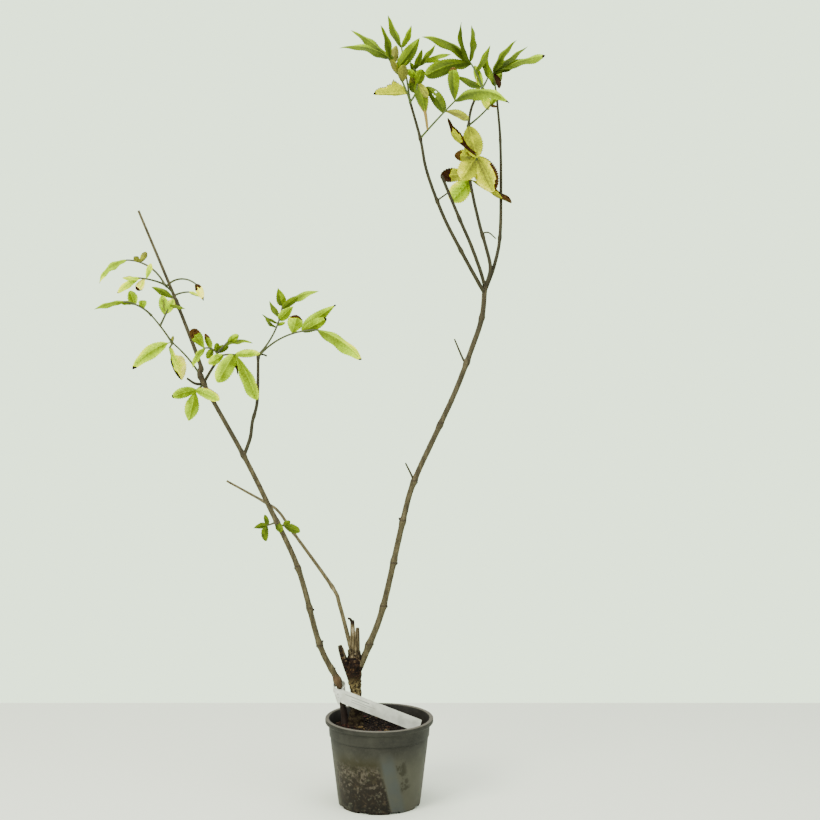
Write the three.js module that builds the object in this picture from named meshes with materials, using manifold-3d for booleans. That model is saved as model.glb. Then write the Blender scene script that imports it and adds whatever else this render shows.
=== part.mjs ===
// Potted golden elderberry: a grey nursery pot of compost, a tie-on label, a short trunk,
// woody stems and boughs, and compound leaves in sprays.
// Millimetres, +Z up. The origin is the middle of the pot's flat underside.
// +X is the right of the plant's front view, and +Y is its back.
import * as THREE from 'three';
import { mergeVertices } from 'three/addons/utils/BufferGeometryUtils.js';
import Module from 'manifold-3d';

const wasm = await Module();
wasm.setup();

const CLEARANCE = 0.3;

const POT = {
  height: 135,
  rimRadius: 82.5,
  lipHeight: 8,
  lipOverhang: 5,
  bandHeight: 19,
  bandRadius: 76.4,
  bandStep: 1.2,
  stepHeight: 1.5,
  baseRadius: 62.7,
  wall: 1.5,
  floor: 2.6,
  facets: 48,
  notches: 8,
  notchWidth: 16,
  notchDepth: 12,
  notchHeight: 3.6,
};

const SOIL = { level: 120, edgeDrop: 3, edgeWidth: 9 };

const LABEL = {
  width: 21,
  loopWidth: 9,
  thickness: 0.7,
  loopCentre: [-61.5, 15.5],
  loopRadius: 9,
  loopHeight: 177,
  loopTilt: 5,
  loopFrom: -55,
  loopTo: 250,
  loopSteps: 10,
  strip: [[-55, 3, 166], [2, -19.5, 150], [62, -42.5, 132]],
  tailTop: [-63, 6.6, 176],
  tailTip: [-62, 3.4, 152],
  tailWidth: 15,
};

// Each limb: the points that its middle runs through, from foot to tip, its diameter at
// fractions of its length, and the heights of the swollen nodes on it.
const LIMBS = {
  trunk: {
    path: [[-36, 12, 112], [-36, 12, 164], [-38, 13, 189], [-38, 14, 213], [-37, 14, 233]],
    diameters: [[0, 30], [0.16, 20.5], [0.5, 17], [0.66, 21], [0.8, 27], [0.95, 22], [1, 15]],
    bark: 'trunk',
    sides: 10,
    ringEvery: 11,
    lumps: 0.1,
    stubs: [
      { path: [[-39, 14, 220], [-42, 14, 282]], diameters: [[0, 8.5], [0.7, 6.2], [1, 5]] },
      { path: [[-34, 12, 220], [-32, 11, 270]], diameters: [[0, 7], [1, 4.6]] },
      { path: [[-46, 9, 198], [-58, 5, 244]], diameters: [[0, 8], [1, 6.4]] },
      { path: [[-44, 9, 216], [-46, 8, 238]], diameters: [[0, 6], [1, 4.6]] },
      { path: [[-29, 9, 216], [-30, 6, 236]], diameters: [[0, 6], [1, 3.4]] },
    ],
  },
  stem_right: {
    path: [[-29, 10, 212], [-16, 12, 243], [6, 15, 303], [36, 20, 434], [53, 22, 495],
      [90, 27, 581], [140, 32, 696], [155, 36, 742], [160, 40, 790]],
    diameters: [[0, 10.5], [0.08, 9.2], [0.5, 8], [1, 7]],
    bark: 'stem',
    nodes: [245, 303, 373, 434, 495, 581, 675, 742],
  },
  stem_left: {
    path: [[-51, 23, 112], [-58, 18, 160], [-65, 13, 191], [-91, 4, 248], [-122, -7, 367],
      [-162, -23, 466], [-198, -32, 543], [-258, -41, 655], [-263, -41, 682],
      [-298, -40, 777], [-351, -30, 905]],
    diameters: [[0, 17], [0.02, 10.5], [0.06, 8.6], [0.45, 7.2], [0.7, 5.8], [1, 3.2]],
    bark: 'stem',
    nodes: [189, 205, 248, 304, 367, 440, 543, 655, 668, 765, 786],
    sides: 7,
  },
  stem_thin: {
    path: [[-42, 16, 232], [-57, 20, 303], [-71, 21, 333], [-130, 25, 415], [-153, 27, 448],
      [-174, 30, 462], [-232, 34, 494]],
    diameters: [[0, 5.4], [0.15, 4.5], [1, 2.4]],
    bark: 'stem',
    nodes: [333, 415, 462],
  },
  branch_side: {
    path: [[-198, -32, 543], [-190, -23, 568], [-181, -9, 623], [-180, 5, 690]],
    diameters: [[0, 4.8], [1, 3.4]],
    nodes: [600, 686],
  },
  shoot_middle: {
    path: [[-258, -41, 655], [-248, -49, 673], [-234, -60, 692]],
    diameters: [[0, 3.4], [1, 2.6]],
  },
  bough_right: {
    path: [[160, 39, 783], [174, 55, 819], [183, 67, 862], [185, 84, 930], [184, 93, 1008],
      [179, 100, 1069]],
    diameters: [[0, 4.6], [1, 2.4]],
    nodes: [862, 1008],
  },
  bough_left: {
    path: [[159, 39, 780], [149, 31, 797], [123, 24, 844], [96, 17, 897], [72, 2, 961],
      [62, -8, 1010], [47, -20, 1063]],
    diameters: [[0, 4.8], [1, 2.6]],
    nodes: [844, 918, 1010],
  },
  bough_back: {
    path: [[160, 40, 786], [168, 47, 816], [160, 52, 848], [152, 58, 881], [140, 64, 934],
      [134, 68, 980], [135, 70, 1029], [141, 68, 1061], [156, 66, 1086]],
    diameters: [[0, 4.6], [1, 2.4]],
    nodes: [865, 1029],
  },
  bough_middle: {
    path: [[160, 40, 788], [152, 37, 815], [137, 33, 855], [121, 29, 891], [94, 20, 955]],
    diameters: [[0, 4.4], [1, 3.6]],
    nodes: [891],
  },
  stub_left: {
    path: [[-259, -41, 655], [-280, -50, 659]],
    diameters: [[0, 3], [1, 2]],
  },
  twig_right_low: {
    path: [[52, 22, 494], [50, 20, 503], [40, 18, 524]],
    diameters: [[0, 2.8], [1, 1.6]],
  },
  twig_right_high: {
    path: [[131, 31, 674], [126, 36, 682], [114, 40, 710]],
    diameters: [[0, 2.8], [1, 1.6]],
  },
  twig_bough_back: {
    path: [[154, 57, 868], [165, 50, 870], [176, 45, 861]],
    diameters: [[0, 1.8], [1, 1.2]],
  },
  stalk_bough_left: {
    path: [[86, 11, 918], [104, 5, 931]],
    diameters: [[0, 1.8], [1, 1.3]],
  },
};

// Each spray of leaves grows from a limb at a height. A stalk starts from the limb or at a
// fraction of an earlier stalk. Its numbers are heading, turn, lean and length. Headings are
// degrees in the front view, from +X towards +Z. Lean is degrees towards the front.
// A leaflet's numbers are its place along the stalk, heading, length, the width that it shows
// from the front, lean, and the turn of its heading from root to tip.
const SPRAYS = {
  leaves_left_tip: {
    limb: 'stem_left',
    height: 786,
    stalks: [
      { shape: [130, 0, 36, 20], leaflets: [] },
      {
        from: [0, 1],
        shape: [116, 66, -16, 74],
        leaflets: [[1, 187, 43, 13, 20, 40], [0.76, 116, 18, 9, 30, 0], [0.78, 68, 19, 9, -25, 0]],
      },
      {
        from: [0, 0.95],
        shape: [150, 24, 34, 45],
        leaflets: [[1, 204, 40, 13, 10, 20], [0.72, 72, 24, 7, -30, 0], [0.78, 236, 20, 10, 20, 0],
          [0.95, 172, 26, 5, 35, 10]],
      },
      {
        from: [0, 0.75],
        shape: [52, -92, 24, 62],
        leaflets: [[1, 304, 27, 12, 25, -20], [0.98, 285, 14, 6, -20, 0]],
      },
    ],
  },
  leaf_left_small: {
    limb: 'stem_left',
    height: 781,
    stalks: [{ shape: [28, -30, -24, 24], leaflets: [[1, 350, 22, 6, -10, -30]] }],
  },
  leaves_left_long: {
    limb: 'stem_left',
    tint: 'yellow',
    height: 664,
    stalks: [
      { shape: [118, 20, 14, 66], leaflets: [[1, 196, 69, 21, 12, 34], [0.97, 276, 62, 27, -25, -12],
        [1, 77, 12, 6, -20, 0]] },
      { from: [0, 1], shape: [120, 10, 10, 50], leaflets: [] },
      {
        from: [1, 1],
        shape: [130, 50, 8, 53],
        leaflets: [[1, 188, 35, 7, 15, 34], [0.56, 112, 22, 14, -20, 0], [0.3, 90, 14, 12, 25, 0]],
      },
      {
        from: [1, 0.6],
        shape: [63, 6, 24, 50],
        leaflets: [[0.95, 140, 35, 9, 15, 24], [0.42, 100, 26, 16, -10, 0], [1, 40, 16, 9, -15, 0],
          [1, 350, 31, 9, 25, -14]],
      },
    ],
  },
  leaf_left_three: {
    limb: 'stem_left',
    height: 650,
    stalks: [
      {
        shape: [212, 0, 48, 20],
        leaflets: [[1, 186, 38, 16, 20, 12], [1, 252, 49, 23, -8, 0], [1, 349, 45, 15, 22, -14]],
      },
    ],
  },
  leaves_left_middle: {
    limb: 'shoot_middle',
    height: 691,
    stalks: [
      {
        shape: [80, 100, 10, 36],
        leaflets: [[1, 133, 30, 14, 10, 0], [0.72, 122, 21, 9, -30, 0], [0.95, 208, 36, 8, 25, 52],
          [0.42, 18, 22, 9, -35, 0], [0.5, 74, 15, 8, 30, 0], [0.2, 214, 27, 14, 40, 0]],
      },
      {
        from: [0, 0.12],
        shape: [22, -26, 30, 27],
        leaflets: [[0.9, 243, 48, 27, 28, 0], [1, 6, 33, 14, -12, -8], [1, 312, 73, 24, 8, -16],
          [0.97, 288, 37, 6, -28, 0]],
      },
      {
        from: [0, 0.3],
        shape: [46, 0, -22, 24],
        leaflets: [[1, 33, 21, 10, 20, 0], [1, 38, 42, 7, -15, -70]],
      },
    ],
  },
  leaves_side_upright: {
    limb: 'branch_side',
    height: 689,
    stalks: [
      {
        shape: [45, 38, -20, 87],
        leaflets: [[0.68, 150, 27, 5, 10, -10], [0.6, 146, 25, 5, -35, 10], [0.78, 125, 32, 9, -25, 0],
          [1, 100, 28, 17, 0, 0], [0.98, 34, 62, 14, -20, -30], [0.94, 42, 33, 11, 20, -12],
          [0.74, 44, 34, 14, 25, 0], [0.64, 16, 13, 5, -20, 0]],
      },
    ],
  },
  leaf_side_arching: {
    limb: 'branch_side',
    height: 686,
    stalks: [
      {
        shape: [52, -50, 24, 110],
        leaflets: [[1, 347, 77, 21, 14, -38], [0.66, 98, 29, 25, -18, 0], [0.84, 34, 57, 21, -12, 8]],
      },
    ],
  },
  leaf_low_left: {
    limb: 'stem_left',
    height: 440,
    stalks: [
      {
        shape: [196, 0, 24, 17],
        leaflets: [[1, 180, 22, 9, 20, 14], [0.9, 104, 17, 9, -20, 0], [1, 272, 23, 9, 10, 8],
          [0.8, 230, 15, 8, 40, 0]],
      },
    ],
  },
  leaf_low_right: {
    limb: 'stem_left',
    height: 437,
    stalks: [
      { shape: [340, 10, 10, 11], leaflets: [[1, 352, 24, 9, 12, -8], [0.9, 30, 12, 8, -35, 0]] },
    ],
  },
  leaves_top_left: {
    limb: 'bough_left',
    height: 1062,
    stalks: [
      {
        shape: [106, 22, 12, 75],
        leaflets: [[1, 163, 74, 11, 12, 19], [0.97, 142, 69, 12, -14, 6], [0.9, 105, 58, 12, 24, 0],
          [0.7, 52, 60, 17, 12, 0], [0.8, 88, 27, 12, -45, 0], [0.2, 178, 50, 23, 10, 0],
          [0.48, 78, 27, 14, 40, 0]],
      },
      { from: [0, 0.02], shape: [98, 2, -20, 87], leaflets: [[1, 116, 50, 12, -10, 0],
        [1, 64, 35, 9, 10, 6]] },
      {
        from: [0, 0.03],
        shape: [44, 76, -6, 50],
        leaflets: [[1, 72, 34, 9, 20, 0], [0.6, 292, 82, 17, 18, -24], [0.68, 270, 34, 13, -35, 0],
          [0.34, 114, 28, 12, -40, 0], [0.94, 5, 18, 8, -30, 0]],
      },
      { from: [2, 1], shape: [44, 0, -20, 16], leaflets: [[1, 54, 35, 9, 10, 0],
        [1, 38, 46, 9, -12, -38]] },
      { from: [0, 0.01], shape: [88, 8, 10, 25], leaflets: [] },
    ],
  },
  leaf_top_front: {
    limb: 'bough_left',
    height: 1010,
    stalks: [
      {
        shape: [49, -4, 22, 79],
        leaflets: [[0.7, 121, 48, 23, -25, 0], [0.72, 353, 38, 14, 25, -18], [1, 98, 49, 18, -10, 0],
          [1, 44, 92, 20, 14, -88]],
      },
    ],
  },
  leaves_top_back: {
    limb: 'bough_back',
    height: 1085,
    stalks: [
      {
        shape: [104, 22, -10, 45],
        leaflets: [[1, 117, 87, 18, 8, 72], [1, 84, 56, 9, -20, 0], [0.96, 170, 78, 26, 24, 57],
          [0.6, 60, 45, 10, 6, 0], [0.9, 106, 70, 9, 30, -4], [0.08, 150, 40, 12, -20, 0],
          [0.1, 104, 35, 14, -40, 0], [0.5, 270, 38, 6, -25, 8]],
      },
      { from: [0, 0.05], shape: [50, 20, -8, 18], leaflets: [[1, 96, 38, 9, -5, 0]] },
    ],
  },
  leaves_top_right: {
    limb: 'bough_right',
    height: 1068,
    stalks: [
      {
        shape: [98, 0, 8, 45],
        leaflets: [[1, 60, 60, 10, 20, -16], [0.95, 40, 68, 10, -12, -4], [0.98, 24, 81, 14, 8, -16],
          [0.92, 296, 29, 12, 30, 0], [0.6, 150, 44, 14, -35, 0], [0.55, 62, 40, 13, -50, 0]],
      },
    ],
  },
  leaves_yellow: {
    limb: 'bough_back',
    tint: 'yellow',
    height: 1028,
    stalks: [
      {
        shape: [312, -44, 34, 52],
        leaflets: [[0.12, 283, 46, 31, 26, 0], [1, 126, 70, 15, 14, 10], [0.97, 233, 50, 32, 10, 0],
          [1, 304, 64, 29, -8, -14]],
      },
      {
        from: [0, 1],
        shape: [258, -8, 4, 37],
        leaflets: [[1, 228, 44, 25, 24, 0], [0.96, 160, 48, 19, -5, 10], [0.97, 331, 72, 9, -14, 0]],
      },
    ],
  },
  leaf_top_small: {
    limb: 'bough_back',
    height: 1030,
    stalks: [{ shape: [36, 14, 12, 47], leaflets: [[1, 62, 14, 9, 10, 0], [0.95, 350, 11, 6, -20, 0]] }],
  },
};

const LEAFLET = { trueWidth: 0.3, thickness: 0.012, stations: [0, 0.1, 0.32, 0.58, 0.82], fold: 18 };
const STALK = { diameter: 1.7, tipDiameter: 1.2, sides: 4, ringEvery: 18, bend: 16, rootDepth: 1.2 };

const COLOURS = {
  pot: 0x6f706b,
  soil: 0x2b1f17,
  label: 0xe9ebe6,
  trunk: 0x6b5a40,
  stem: 0x857650,
  bough: 0x5f5238,
  green: 0x8fae3a,
  yellow: 0xd2d27a,
};

// A fraction from 0 to 1 that is always the same for the same seed.
function chance(seed) {
  const wave = Math.sin(seed * 12.9898) * 43758.5453;
  return wave - Math.floor(wave);
}

function vector(point) {
  return new THREE.Vector3(...point);
}

// A solid whose faces point outwards, whichever way round the geometry lists them.
function toSolid(geometry) {
  const bare = geometry.clone();
  bare.deleteAttribute('normal');
  bare.deleteAttribute('uv');
  const merged = mergeVertices(bare, 1e-4);
  const vertProperties = new Float32Array(merged.attributes.position.array);
  const triVerts = new Uint32Array(merged.index.array);
  const solid = new wasm.Manifold(new wasm.Mesh({ numProp: 3, vertProperties, triVerts }));
  if (solid.volume() > 0) {
    return solid;
  }
  return new wasm.Manifold(new wasm.Mesh({ numProp: 3, vertProperties, triVerts: triVerts.reverse() }));
}

function toGeometry(solid) {
  const { vertProperties, triVerts } = solid.getMesh();
  const geometry = new THREE.BufferGeometry();
  geometry.setAttribute('position', new THREE.BufferAttribute(vertProperties, 3));
  geometry.setIndex(new THREE.BufferAttribute(triVerts, 1));
  geometry.computeVertexNormals();
  return geometry;
}

// The largest piece that a join or a cut leaves.
function largestPiece(solid) {
  return solid.decompose().reduce((best, piece) => (piece.volume() > best.volume() ? piece : best));
}

// A closed skin over a row of rings with the same number of points, and a cap on each end.
// The last ring may be a single point.
function skin(rings) {
  const sides = rings[0].length;
  const points = rings.flat();
  const faces = [];
  for (let i = 2; i < sides; i += 1) {
    faces.push(0, i, i - 1);
  }
  for (let ring = 0; ring + 1 < rings.length; ring += 1) {
    const low = ring * sides;
    const high = low + sides;
    for (let i = 0; i < sides; i += 1) {
      const next = (i + 1) % sides;
      if (rings[ring + 1].length === 1) {
        faces.push(low + i, low + next, high);
      } else {
        faces.push(low + i, low + next, high + next, low + i, high + next, high + i);
      }
    }
  }
  if (rings.at(-1).length > 1) {
    const last = points.length - sides;
    for (let i = 2; i < sides; i += 1) {
      faces.push(last, last + i - 1, last + i);
    }
  }
  const geometry = new THREE.BufferGeometry();
  geometry.setAttribute('position', new THREE.Float32BufferAttribute(points.flatMap((p) => p.toArray()), 3));
  geometry.setIndex(faces);
  return toSolid(geometry);
}

// Two directions square to a line: across it in the front view, and through it.
function squareTo(along) {
  const across = new THREE.Vector3().crossVectors(along, new THREE.Vector3(0, 1, 0)).normalize();
  const through = new THREE.Vector3().crossVectors(across, along);
  return { across, through };
}

function ringAround(centre, along, radius, sides) {
  const { across, through } = squareTo(along);
  const ring = [];
  for (let i = 0; i < sides; i += 1) {
    const angle = (2 * Math.PI * i) / sides;
    ring.push(centre.clone()
      .addScaledVector(across, radius(i) * Math.cos(angle))
      .addScaledVector(through, radius(i) * Math.sin(angle)));
  }
  return ring;
}

// The value at a fraction of a row of [fraction, value] pairs, on straight lines between them.
function between(pairs, fraction) {
  const after = pairs.findIndex(([place]) => place >= fraction);
  if (after <= 0) {
    return pairs.at(after)[1];
  }
  const [lowPlace, low] = pairs[after - 1];
  const [highPlace, high] = pairs[after];
  return low + ((high - low) * (fraction - lowPlace)) / (highPlace - lowPlace);
}

function curveOf(limb) {
  return new THREE.CatmullRomCurve3(limb.path.map(vector), false, 'catmullrom', 0.5);
}

// The fraction of its length at which a rising curve reaches a height.
function fractionAt(curve, height) {
  let low = 0;
  let high = 1;
  while (high - low > 1e-4) {
    const middle = (low + high) / 2;
    if (curve.getPointAt(middle).z < height) {
      low = middle;
    } else {
      high = middle;
    }
  }
  return low;
}

// A tapering limb with swollen nodes. grow makes it stouter and longer on all sides.
function limbSolid(limb, grow = 0) {
  const { sides = 6, ringEvery = 45, lumps = 0, nodes = [] } = limb;
  const curve = curveOf(limb);
  const long = curve.getLength();
  const steps = Math.max(1, Math.round(long / ringEvery));
  const swellings = nodes.map((height) => fractionAt(curve, height));
  const places = new Set(Array.from({ length: steps + 1 }, (_, i) => i / steps));
  limb.diameters.forEach(([place]) => places.add(place));
  const reach = swellings.map((place) => (1.1 * between(limb.diameters, place)) / long);
  swellings.forEach((place, i) => {
    for (const other of places) {
      if (other > 0 && other < 1 && Math.abs(other - place) < 1.4 * reach[i]) {
        places.delete(other);
      }
    }
    [-reach[i], 0, reach[i]].forEach((step) => places.add(THREE.MathUtils.clamp(place + step, 0, 1)));
  });
  const rings = [...places].sort((a, b) => a - b).map((place, row) => {
    const along = curve.getTangentAt(place);
    const atNode = swellings.some((node) => Math.abs(node - place) < 1e-6);
    const radius = (between(limb.diameters, place) / 2) * (atNode ? 1.3 : 1);
    const centre = curve.getPointAt(place);
    if (place === 0 || place === 1) {
      centre.addScaledVector(along, place === 0 ? -grow : grow);
    }
    const lumpy = (side) => radius * (1 + lumps * (2 * chance(17 * row + side) - 1)) + grow;
    return ringAround(centre, along, lumpy, sides);
  });
  return skin(rings);
}

// The direction of a heading in the front view that leans to the front.
function direction(heading, lean) {
  const angle = THREE.MathUtils.degToRad(heading);
  const rise = THREE.MathUtils.degToRad(lean);
  return new THREE.Vector3(
    Math.cos(angle) * Math.cos(rise),
    -Math.sin(rise),
    Math.sin(angle) * Math.cos(rise),
  );
}

// Points and directions along a stalk or midrib whose heading turns evenly. Its first point
// is moved back, so that its root is sunk in the part that it grows from.
function spine(start, [heading, turn, lean, long], stations) {
  const point = start.clone().addScaledVector(direction(heading, lean), -STALK.rootDepth);
  let reached = 0;
  return stations.map((place) => {
    const along = direction(heading + (turn * (reached + place)) / 2, lean);
    point.addScaledVector(along, (place - reached) * (long + STALK.rootDepth));
    reached = place;
    return { place, point: point.clone(), along: direction(heading + turn * place, lean) };
  });
}

function evenly(count) {
  return Array.from({ length: count + 1 }, (_, i) => i / count);
}

// Rows along a stalk, close enough together to follow its bend.
function stalkRows(start, shape) {
  const [, turn, , long] = shape;
  const steps = Math.ceil(Math.max(long / STALK.ringEvery, Math.abs(turn) / STALK.bend));
  return spine(start, shape, evenly(steps));
}

// The point at a fraction of a stalk, on the straight lines between its rows.
function pointOn(rows, place) {
  const exact = place * (rows.length - 1);
  const row = Math.min(Math.floor(exact), rows.length - 2);
  return rows[row].point.clone().lerp(rows[row + 1].point, exact - row);
}

function stalkSolid(rows) {
  return skin(rows.map(({ place, point, along }) => {
    const radius = THREE.MathUtils.lerp(STALK.diameter, STALK.tipDiameter, place) / 2;
    return ringAround(point, along, () => radius, STALK.sides);
  }));
}

// The share of its full width that a leaflet has at a fraction of its length.
function outline(fraction) {
  return 2.62 * fraction ** 0.8 * (1 - fraction) ** 1.15;
}

// A pointed leaflet, folded along its midrib and turned about it until it shows its given width.
function leafletSolid(start, [, heading, long, shown, lean, turn], seed) {
  const full = Math.max(shown, LEAFLET.trueWidth * long);
  const roll = Math.acos(shown / full);
  const fold = THREE.MathUtils.degToRad(LEAFLET.fold * (0.6 + 0.8 * chance(seed)));
  const half = (LEAFLET.thickness * long) / 2 + 0.2;
  const rows = spine(start, [heading, turn, lean, long], [...LEAFLET.stations, 1]);
  return skin(rows.map(({ place, point, along }) => {
    if (place === 1) {
      return [point];
    }
    const { across, through } = squareTo(along);
    const upward = across.z < 0 ? -1 : 1;
    const normal = through.clone().multiplyScalar(-Math.cos(roll))
      .addScaledVector(across, upward * Math.sin(roll));
    const side = new THREE.Vector3().crossVectors(along, normal);
    const width = Math.max((full / 2) * outline(place), 0.5);
    const lift = width * Math.tan(fold);
    const thick = half * (1 - 0.5 * place);
    return [
      point.clone().addScaledVector(side, width).addScaledVector(normal, lift),
      point.clone().addScaledVector(normal, thick),
      point.clone().addScaledVector(side, -width).addScaledVector(normal, lift),
      point.clone().addScaledVector(normal, -thick),
    ];
  }));
}

// A spray: stalks that branch from one stem, with leaflets fused on. It is cut clear of the
// limbs, and a leaflet that would touch another limb or a neighbouring spray is left off.
function spraySolid(spray, cutters, neighbours, seed) {
  const curve = curveOf(LIMBS[spray.limb]);
  const foot = curve.getPointAt(fractionAt(curve, spray.height));
  const others = Object.keys(cutters).filter((name) => name !== spray.limb).map((name) => cutters[name]);
  const touches = (blade) => [...others, ...neighbours].some((other) => blade.intersect(other).volume() > 0);
  const stalks = [];
  const parts = [];
  spray.stalks.forEach(({ from, shape, leaflets }, i) => {
    const rows = stalkRows(from ? pointOn(stalks[from[0]], from[1]) : foot, shape);
    stalks.push(rows);
    parts.push(stalkSolid(rows));
    leaflets.forEach((leaflet, j) => {
      const blade = leafletSolid(pointOn(rows, leaflet[0]), leaflet, seed + 31 * i + 7 * j);
      if (!touches(blade)) {
        parts.push(blade);
      }
    });
  });
  const joined = parts.reduce((whole, part) => whole.add(part));
  const cut = Object.values(cutters).reduce((left, cutter) => left.subtract(cutter), joined);
  return largestPiece(cut);
}

function lathe(profile) {
  const points = profile.map(([radius, height]) => new THREE.Vector2(radius, height));
  return toSolid(new THREE.LatheGeometry(points, POT.facets).rotateX(Math.PI / 2));
}

const lipFoot = POT.height - POT.lipHeight;
const bandFoot = lipFoot - POT.bandHeight;
const stepFoot = bandFoot - POT.stepHeight;
const wallTop = POT.rimRadius - POT.lipOverhang;

// Radius of the pot's outer wall at a height below the lip.
function wallRadius(height) {
  return between([
    [0, POT.baseRadius],
    [stepFoot, POT.bandRadius - POT.bandStep],
    [bandFoot, POT.bandRadius],
    [lipFoot, wallTop],
  ], height);
}

function potSolid() {
  const inside = (height) => [wallRadius(height) - POT.wall, height];
  let solid = lathe([
    [0, 0],
    [POT.baseRadius - 1.2, 0],
    [wallRadius(1.2), 1.2],
    [wallRadius(stepFoot), stepFoot],
    [wallRadius(bandFoot), bandFoot],
    [wallTop, lipFoot],
    [POT.rimRadius - 1.4, lipFoot],
    [POT.rimRadius, lipFoot + 1.8],
    [POT.rimRadius, POT.height - 1.8],
    [POT.rimRadius - 1.6, POT.height],
    [wallTop + 0.6, POT.height],
    [wallTop - POT.wall, POT.height - 2.4],
    inside(bandFoot),
    inside(stepFoot),
    inside(POT.floor),
    [0, POT.floor],
  ]);
  for (let i = 0; i < POT.notches; i += 1) {
    const notch = new THREE.BoxGeometry(POT.notchDepth, POT.notchWidth, 2 * POT.notchHeight)
      .translate(POT.baseRadius, 0, 0)
      .rotateZ((2 * Math.PI * (i + 0.5)) / POT.notches);
    solid = solid.subtract(toSolid(notch));
  }
  return solid;
}

function soilSolid() {
  const inside = (height) => wallRadius(height) - POT.wall - CLEARANCE;
  const foot = POT.floor + CLEARANCE;
  const edge = SOIL.level - SOIL.edgeDrop;
  return lathe([
    [0, foot],
    [inside(foot), foot],
    [inside(stepFoot), stepFoot],
    [inside(bandFoot), bandFoot],
    [inside(edge), edge],
    [inside(edge) - SOIL.edgeWidth, SOIL.level],
    [0, SOIL.level],
  ]);
}

// Four corners of a thin upright plate's section, square to the way that it runs.
function plateSection(centre, along, width) {
  const out = new THREE.Vector3().crossVectors(along, new THREE.Vector3(0, 0, 1)).normalize();
  const up = new THREE.Vector3().crossVectors(out, along);
  const corner = (side, face) => centre.clone()
    .addScaledVector(up, (side * width) / 2)
    .addScaledVector(out, (face * LABEL.thickness) / 2);
  return [corner(1, 1), corner(-1, 1), corner(-1, -1), corner(1, -1)];
}

// The label: a band round the left stem that runs on as a strip to the pot's rim,
// and its pointed tail, which hangs in front.
function labelSolid() {
  const [middleX, middleY] = LABEL.loopCentre;
  const route = evenly(LABEL.loopSteps).map((fraction) => {
    const angle = THREE.MathUtils.degToRad(THREE.MathUtils.lerp(LABEL.loopFrom, LABEL.loopTo, fraction));
    const point = new THREE.Vector3(
      middleX + LABEL.loopRadius * Math.cos(angle),
      middleY + LABEL.loopRadius * Math.sin(angle),
      LABEL.loopHeight + LABEL.loopTilt * Math.sin(angle),
    );
    return { point, width: LABEL.loopWidth };
  });
  LABEL.strip.forEach((point) => route.push({ point: vector(point), width: LABEL.width }));
  const band = skin(route.map(({ point, width }, i) => {
    const before = route[Math.max(i - 1, 0)].point;
    const after = route[Math.min(i + 1, route.length - 1)].point;
    return plateSection(point, after.clone().sub(before).normalize(), width);
  }));
  const top = vector(LABEL.tailTop);
  const tip = vector(LABEL.tailTip);
  const across = new THREE.Vector3(LABEL.tailWidth / 2, 0, 0);
  const through = new THREE.Vector3(0, LABEL.thickness / 2, 0);
  const tail = skin([
    [
      top.clone().add(across).add(through),
      top.clone().sub(across).add(through),
      top.clone().sub(across).sub(through),
      top.clone().add(across).sub(through),
    ],
    [tip],
  ]);
  return band.add(tail);
}

function addMesh(group, name, solid, colour, roughness) {
  const material = new THREE.MeshStandardMaterial({ color: colour, roughness, metalness: 0 });
  const mesh = new THREE.Mesh(toGeometry(solid), material);
  mesh.name = name;
  group.add(mesh);
}

function addPlant(group) {
  const ground = new THREE.CylinderGeometry(wallTop, wallTop, SOIL.level + CLEARANCE, POT.facets)
    .rotateX(Math.PI / 2)
    .translate(0, 0, (SOIL.level + CLEARANCE) / 2);
  const cutters = { ground: toSolid(ground) };
  for (const [name, limb] of Object.entries(LIMBS)) {
    const { stubs = [] } = limb;
    const joined = (grow) => [limb, ...stubs]
      .map((piece) => limbSolid(piece, grow))
      .reduce((whole, piece) => whole.add(piece));
    const cut = Object.values(cutters).reduce((left, cutter) => left.subtract(cutter), joined(0));
    const colour = COLOURS[limb.bark ?? 'bough'];
    addMesh(group, name, largestPiece(cut), colour, 0.85);
    cutters[name] = joined(CLEARANCE);
  }
  const neighbours = [];
  Object.entries(SPRAYS).forEach(([name, spray], i) => {
    const solid = spraySolid(spray, cutters, neighbours, 100 * i);
    addMesh(group, name, solid, COLOURS[spray.tint ?? 'green'], 0.55);
    neighbours.push(solid);
  });
}

const plant = new THREE.Group();
addMesh(plant, 'pot', potSolid(), COLOURS.pot, 0.6);
addMesh(plant, 'potting_soil', soilSolid(), COLOURS.soil, 0.95);
addMesh(plant, 'label', labelSolid(), COLOURS.label, 0.4);
addPlant(plant);

export default plant;
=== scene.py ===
# Looks of a potted golden elderberry: pot, potting soil, label, bark, leaf stalks and leaflets.
# Plant and pot sizes are in millimetres, and mm turns them to Blender's metres.
import math
import random

import bpy
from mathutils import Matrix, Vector, noise
from mathutils.kdtree import KDTree


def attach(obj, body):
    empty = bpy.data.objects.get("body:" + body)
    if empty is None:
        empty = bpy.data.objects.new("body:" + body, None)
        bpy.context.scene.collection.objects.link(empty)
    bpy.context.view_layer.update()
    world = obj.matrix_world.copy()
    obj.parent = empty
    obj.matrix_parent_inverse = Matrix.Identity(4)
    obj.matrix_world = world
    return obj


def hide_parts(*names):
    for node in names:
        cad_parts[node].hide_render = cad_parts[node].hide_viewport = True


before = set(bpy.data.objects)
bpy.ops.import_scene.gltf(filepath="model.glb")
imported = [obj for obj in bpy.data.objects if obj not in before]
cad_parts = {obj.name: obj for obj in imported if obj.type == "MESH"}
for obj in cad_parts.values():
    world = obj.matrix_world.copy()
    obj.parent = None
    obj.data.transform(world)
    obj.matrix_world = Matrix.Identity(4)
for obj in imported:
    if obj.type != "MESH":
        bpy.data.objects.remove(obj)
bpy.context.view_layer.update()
mm = 0.001

cameraView = {
    "place": (46.9, -3046.9, 985.8),
    "tiltDown": 7.09,
    "lens": 90,
    "sensor": 36,
}

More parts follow.
